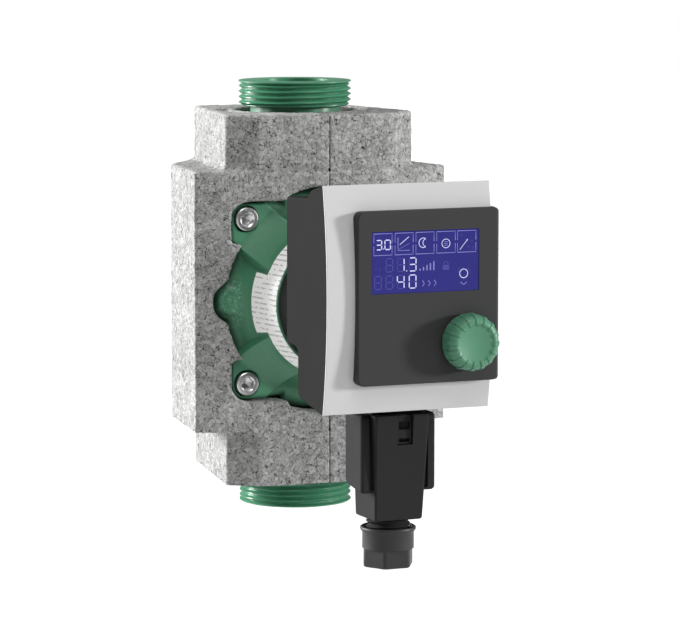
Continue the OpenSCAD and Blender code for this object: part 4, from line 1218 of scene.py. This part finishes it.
def gland_nut(finish):
    """Nut with a rolled flange over a round skirt, and a hexagon below."""
    turn = full_turn(192)
    top, low = NUT[1, 2], NUT[0, 2]
    hex_top = low + 7.5
    six = np.minimum(hexagon(turn, 10.9), 10.6)
    rings = [(CABLE_R, low + 9.4), (CABLE_R, low + 0.6), (4.9, low), (six - 0.7, low),
             (six - 0.15, low + 0.35), (six, low + 0.9), (six, hex_top - 0.15), (10.45, hex_top),
             (10.5, hex_top + 0.3), (10.45, top - 2.6), (10.75, top - 1.9), (11.25, top - 1.3),
             (11.35, top - 0.8), (11.2, top - 0.25), (10.8, top), (10.3, top - 0.15),
             (9.75, top - 1.5), (9.2, top - 3.4), (9.2, low + 9.4)]
    points = [around(r, turn, z, (0, GLAND_Y)) for r, z in rings]
    teeth = []
    for a in full_turn(12) + 0.12:
        tooth = np.array([(9.9, 0.42), (9.9, -0.42), (8.95, -0.62), (8.95, 0.62)])
        spin = np.array([[math.cos(a), math.sin(a)], [-math.sin(a), math.cos(a)]])
        teeth.append(slab("tooth", tooth @ spin + [0, GLAND_Y], top - 5.5, top - 1.35, 0.08))
    whole = join("gland_nut_shell", [loft("gland_nut_shell", points, joined=True)] + teeth)
    mount_piece(whole, finish, "plug_dark", "gland_nut", "gland_nut")


# ---- The whole pump ----

front_left_camera()
studio()

insulation(bead_foam("bead_foam"))
pump_body(cast_paint("painted_body", linear(60, 116, 86)),
          cast_paint("painted_thread", linear(58, 118, 88), 0.3))
motor_casting(cast_paint("painted_casting", linear(60, 116, 86), scuffed_patch_and_root_shade=True))
flange_screws(metal("zinc_screw", (0.62, 0.62, 0.62, 1), 0.3))
module_back(moulded("module_plastic", linear(25, 26, 25), 0.75, level=0.03))
front_cover(moulded("cover_plastic", linear(174, 174, 174), 0.55, 1800, 2e-5, 0.25, 0.02))
control_panel(moulded("panel_plastic", linear(46, 46, 47), 0.58, 2400, 5e-5, 0.16, 0.12))
display(glass_display("display_glass"), {
    "bright": display_mark("display_bright", linear(178, 178, 208), 0.35),
    "mid": display_mark("display_mid", linear(112, 112, 168), 0.3),
    "dim": display_mark("display_dim", linear(58, 58, 124), 0.3)})
knob(moulded("knob_plastic", linear(69, 117, 92), 0.46, 2600, 1e-5, 0.28, 0.04))
plug_plastic = moulded("plug_plastic", linear(37, 37, 38), 0.68, level=0.04)
connector_shell(plug_plastic)
latch_tongue(plug_plastic)
gland_nut(moulded("gland_plastic", linear(38, 38, 39), 0.45, level=0.24))

dress(plug_plastic, "power_socket")
dress(label_film("label_film"), "type_label")
dress(metal("stainless", (0.72, 0.72, 0.73, 1), 0.28, (1, 8, 1)), "wear_ring", "shaft",
      "rotor_sleeve", "bearing_plate", "rotor_can", "module_screws", "board_screws", "switch_dome",
      "encoder_shaft")
dress(metal("stacked_steel", (0.45, 0.46, 0.48, 1), 0.45, (1, 30, 1)), "stator_core")
dress(metal("copper_wire", (0.83, 0.42, 0.22, 1), 0.32, (1, 1, 12)), "stator_windings",
      "motor_leads")
dress(metal("brass_contact", (0.82, 0.66, 0.32, 1), 0.25), "socket_pins", "connector_contacts")
dress(moulded("rubber", linear(28, 28, 29), 0.7, 1500, 3e-5, 0.3), "housing_seal", "neck_seal",
      "cable_seal")
dress(moulded("silicone_red", linear(150, 62, 50), 0.55), "connector_seal")
dress(moulded("ferrite", linear(60, 60, 63), 0.55, 900, 3e-5, 0.4), "rotor_magnet")
dress(moulded("carbon", linear(45, 45, 48), 0.35, 1800, 1e-5, 0.5), "thrust_washer",
      "front_bearing", "rear_bearing")
dress(moulded("impeller_plastic", linear(196, 182, 140), 0.45, 1500, 2e-5), "impeller")
dress(moulded("pale_plastic", linear(215, 214, 205), 0.5, 1800, 1e-5, 0.35, 0.03),
      "board_spacers", "press_plunger", "thrust_ring")
dress(moulded("circuit_laminate", linear(30, 92, 58), 0.35, 500, 1e-5, 0.5), "circuit_board",
      "display_board")
dress(moulded("component_case", linear(70, 70, 78), 0.45), "board_components", "encoder_body")
dress(moulded("display_frame", linear(60, 60, 84), 0.4), "lcd_module")
dress(moulded("carrier_plastic", linear(112, 112, 112), 0.5), "contact_carrier")
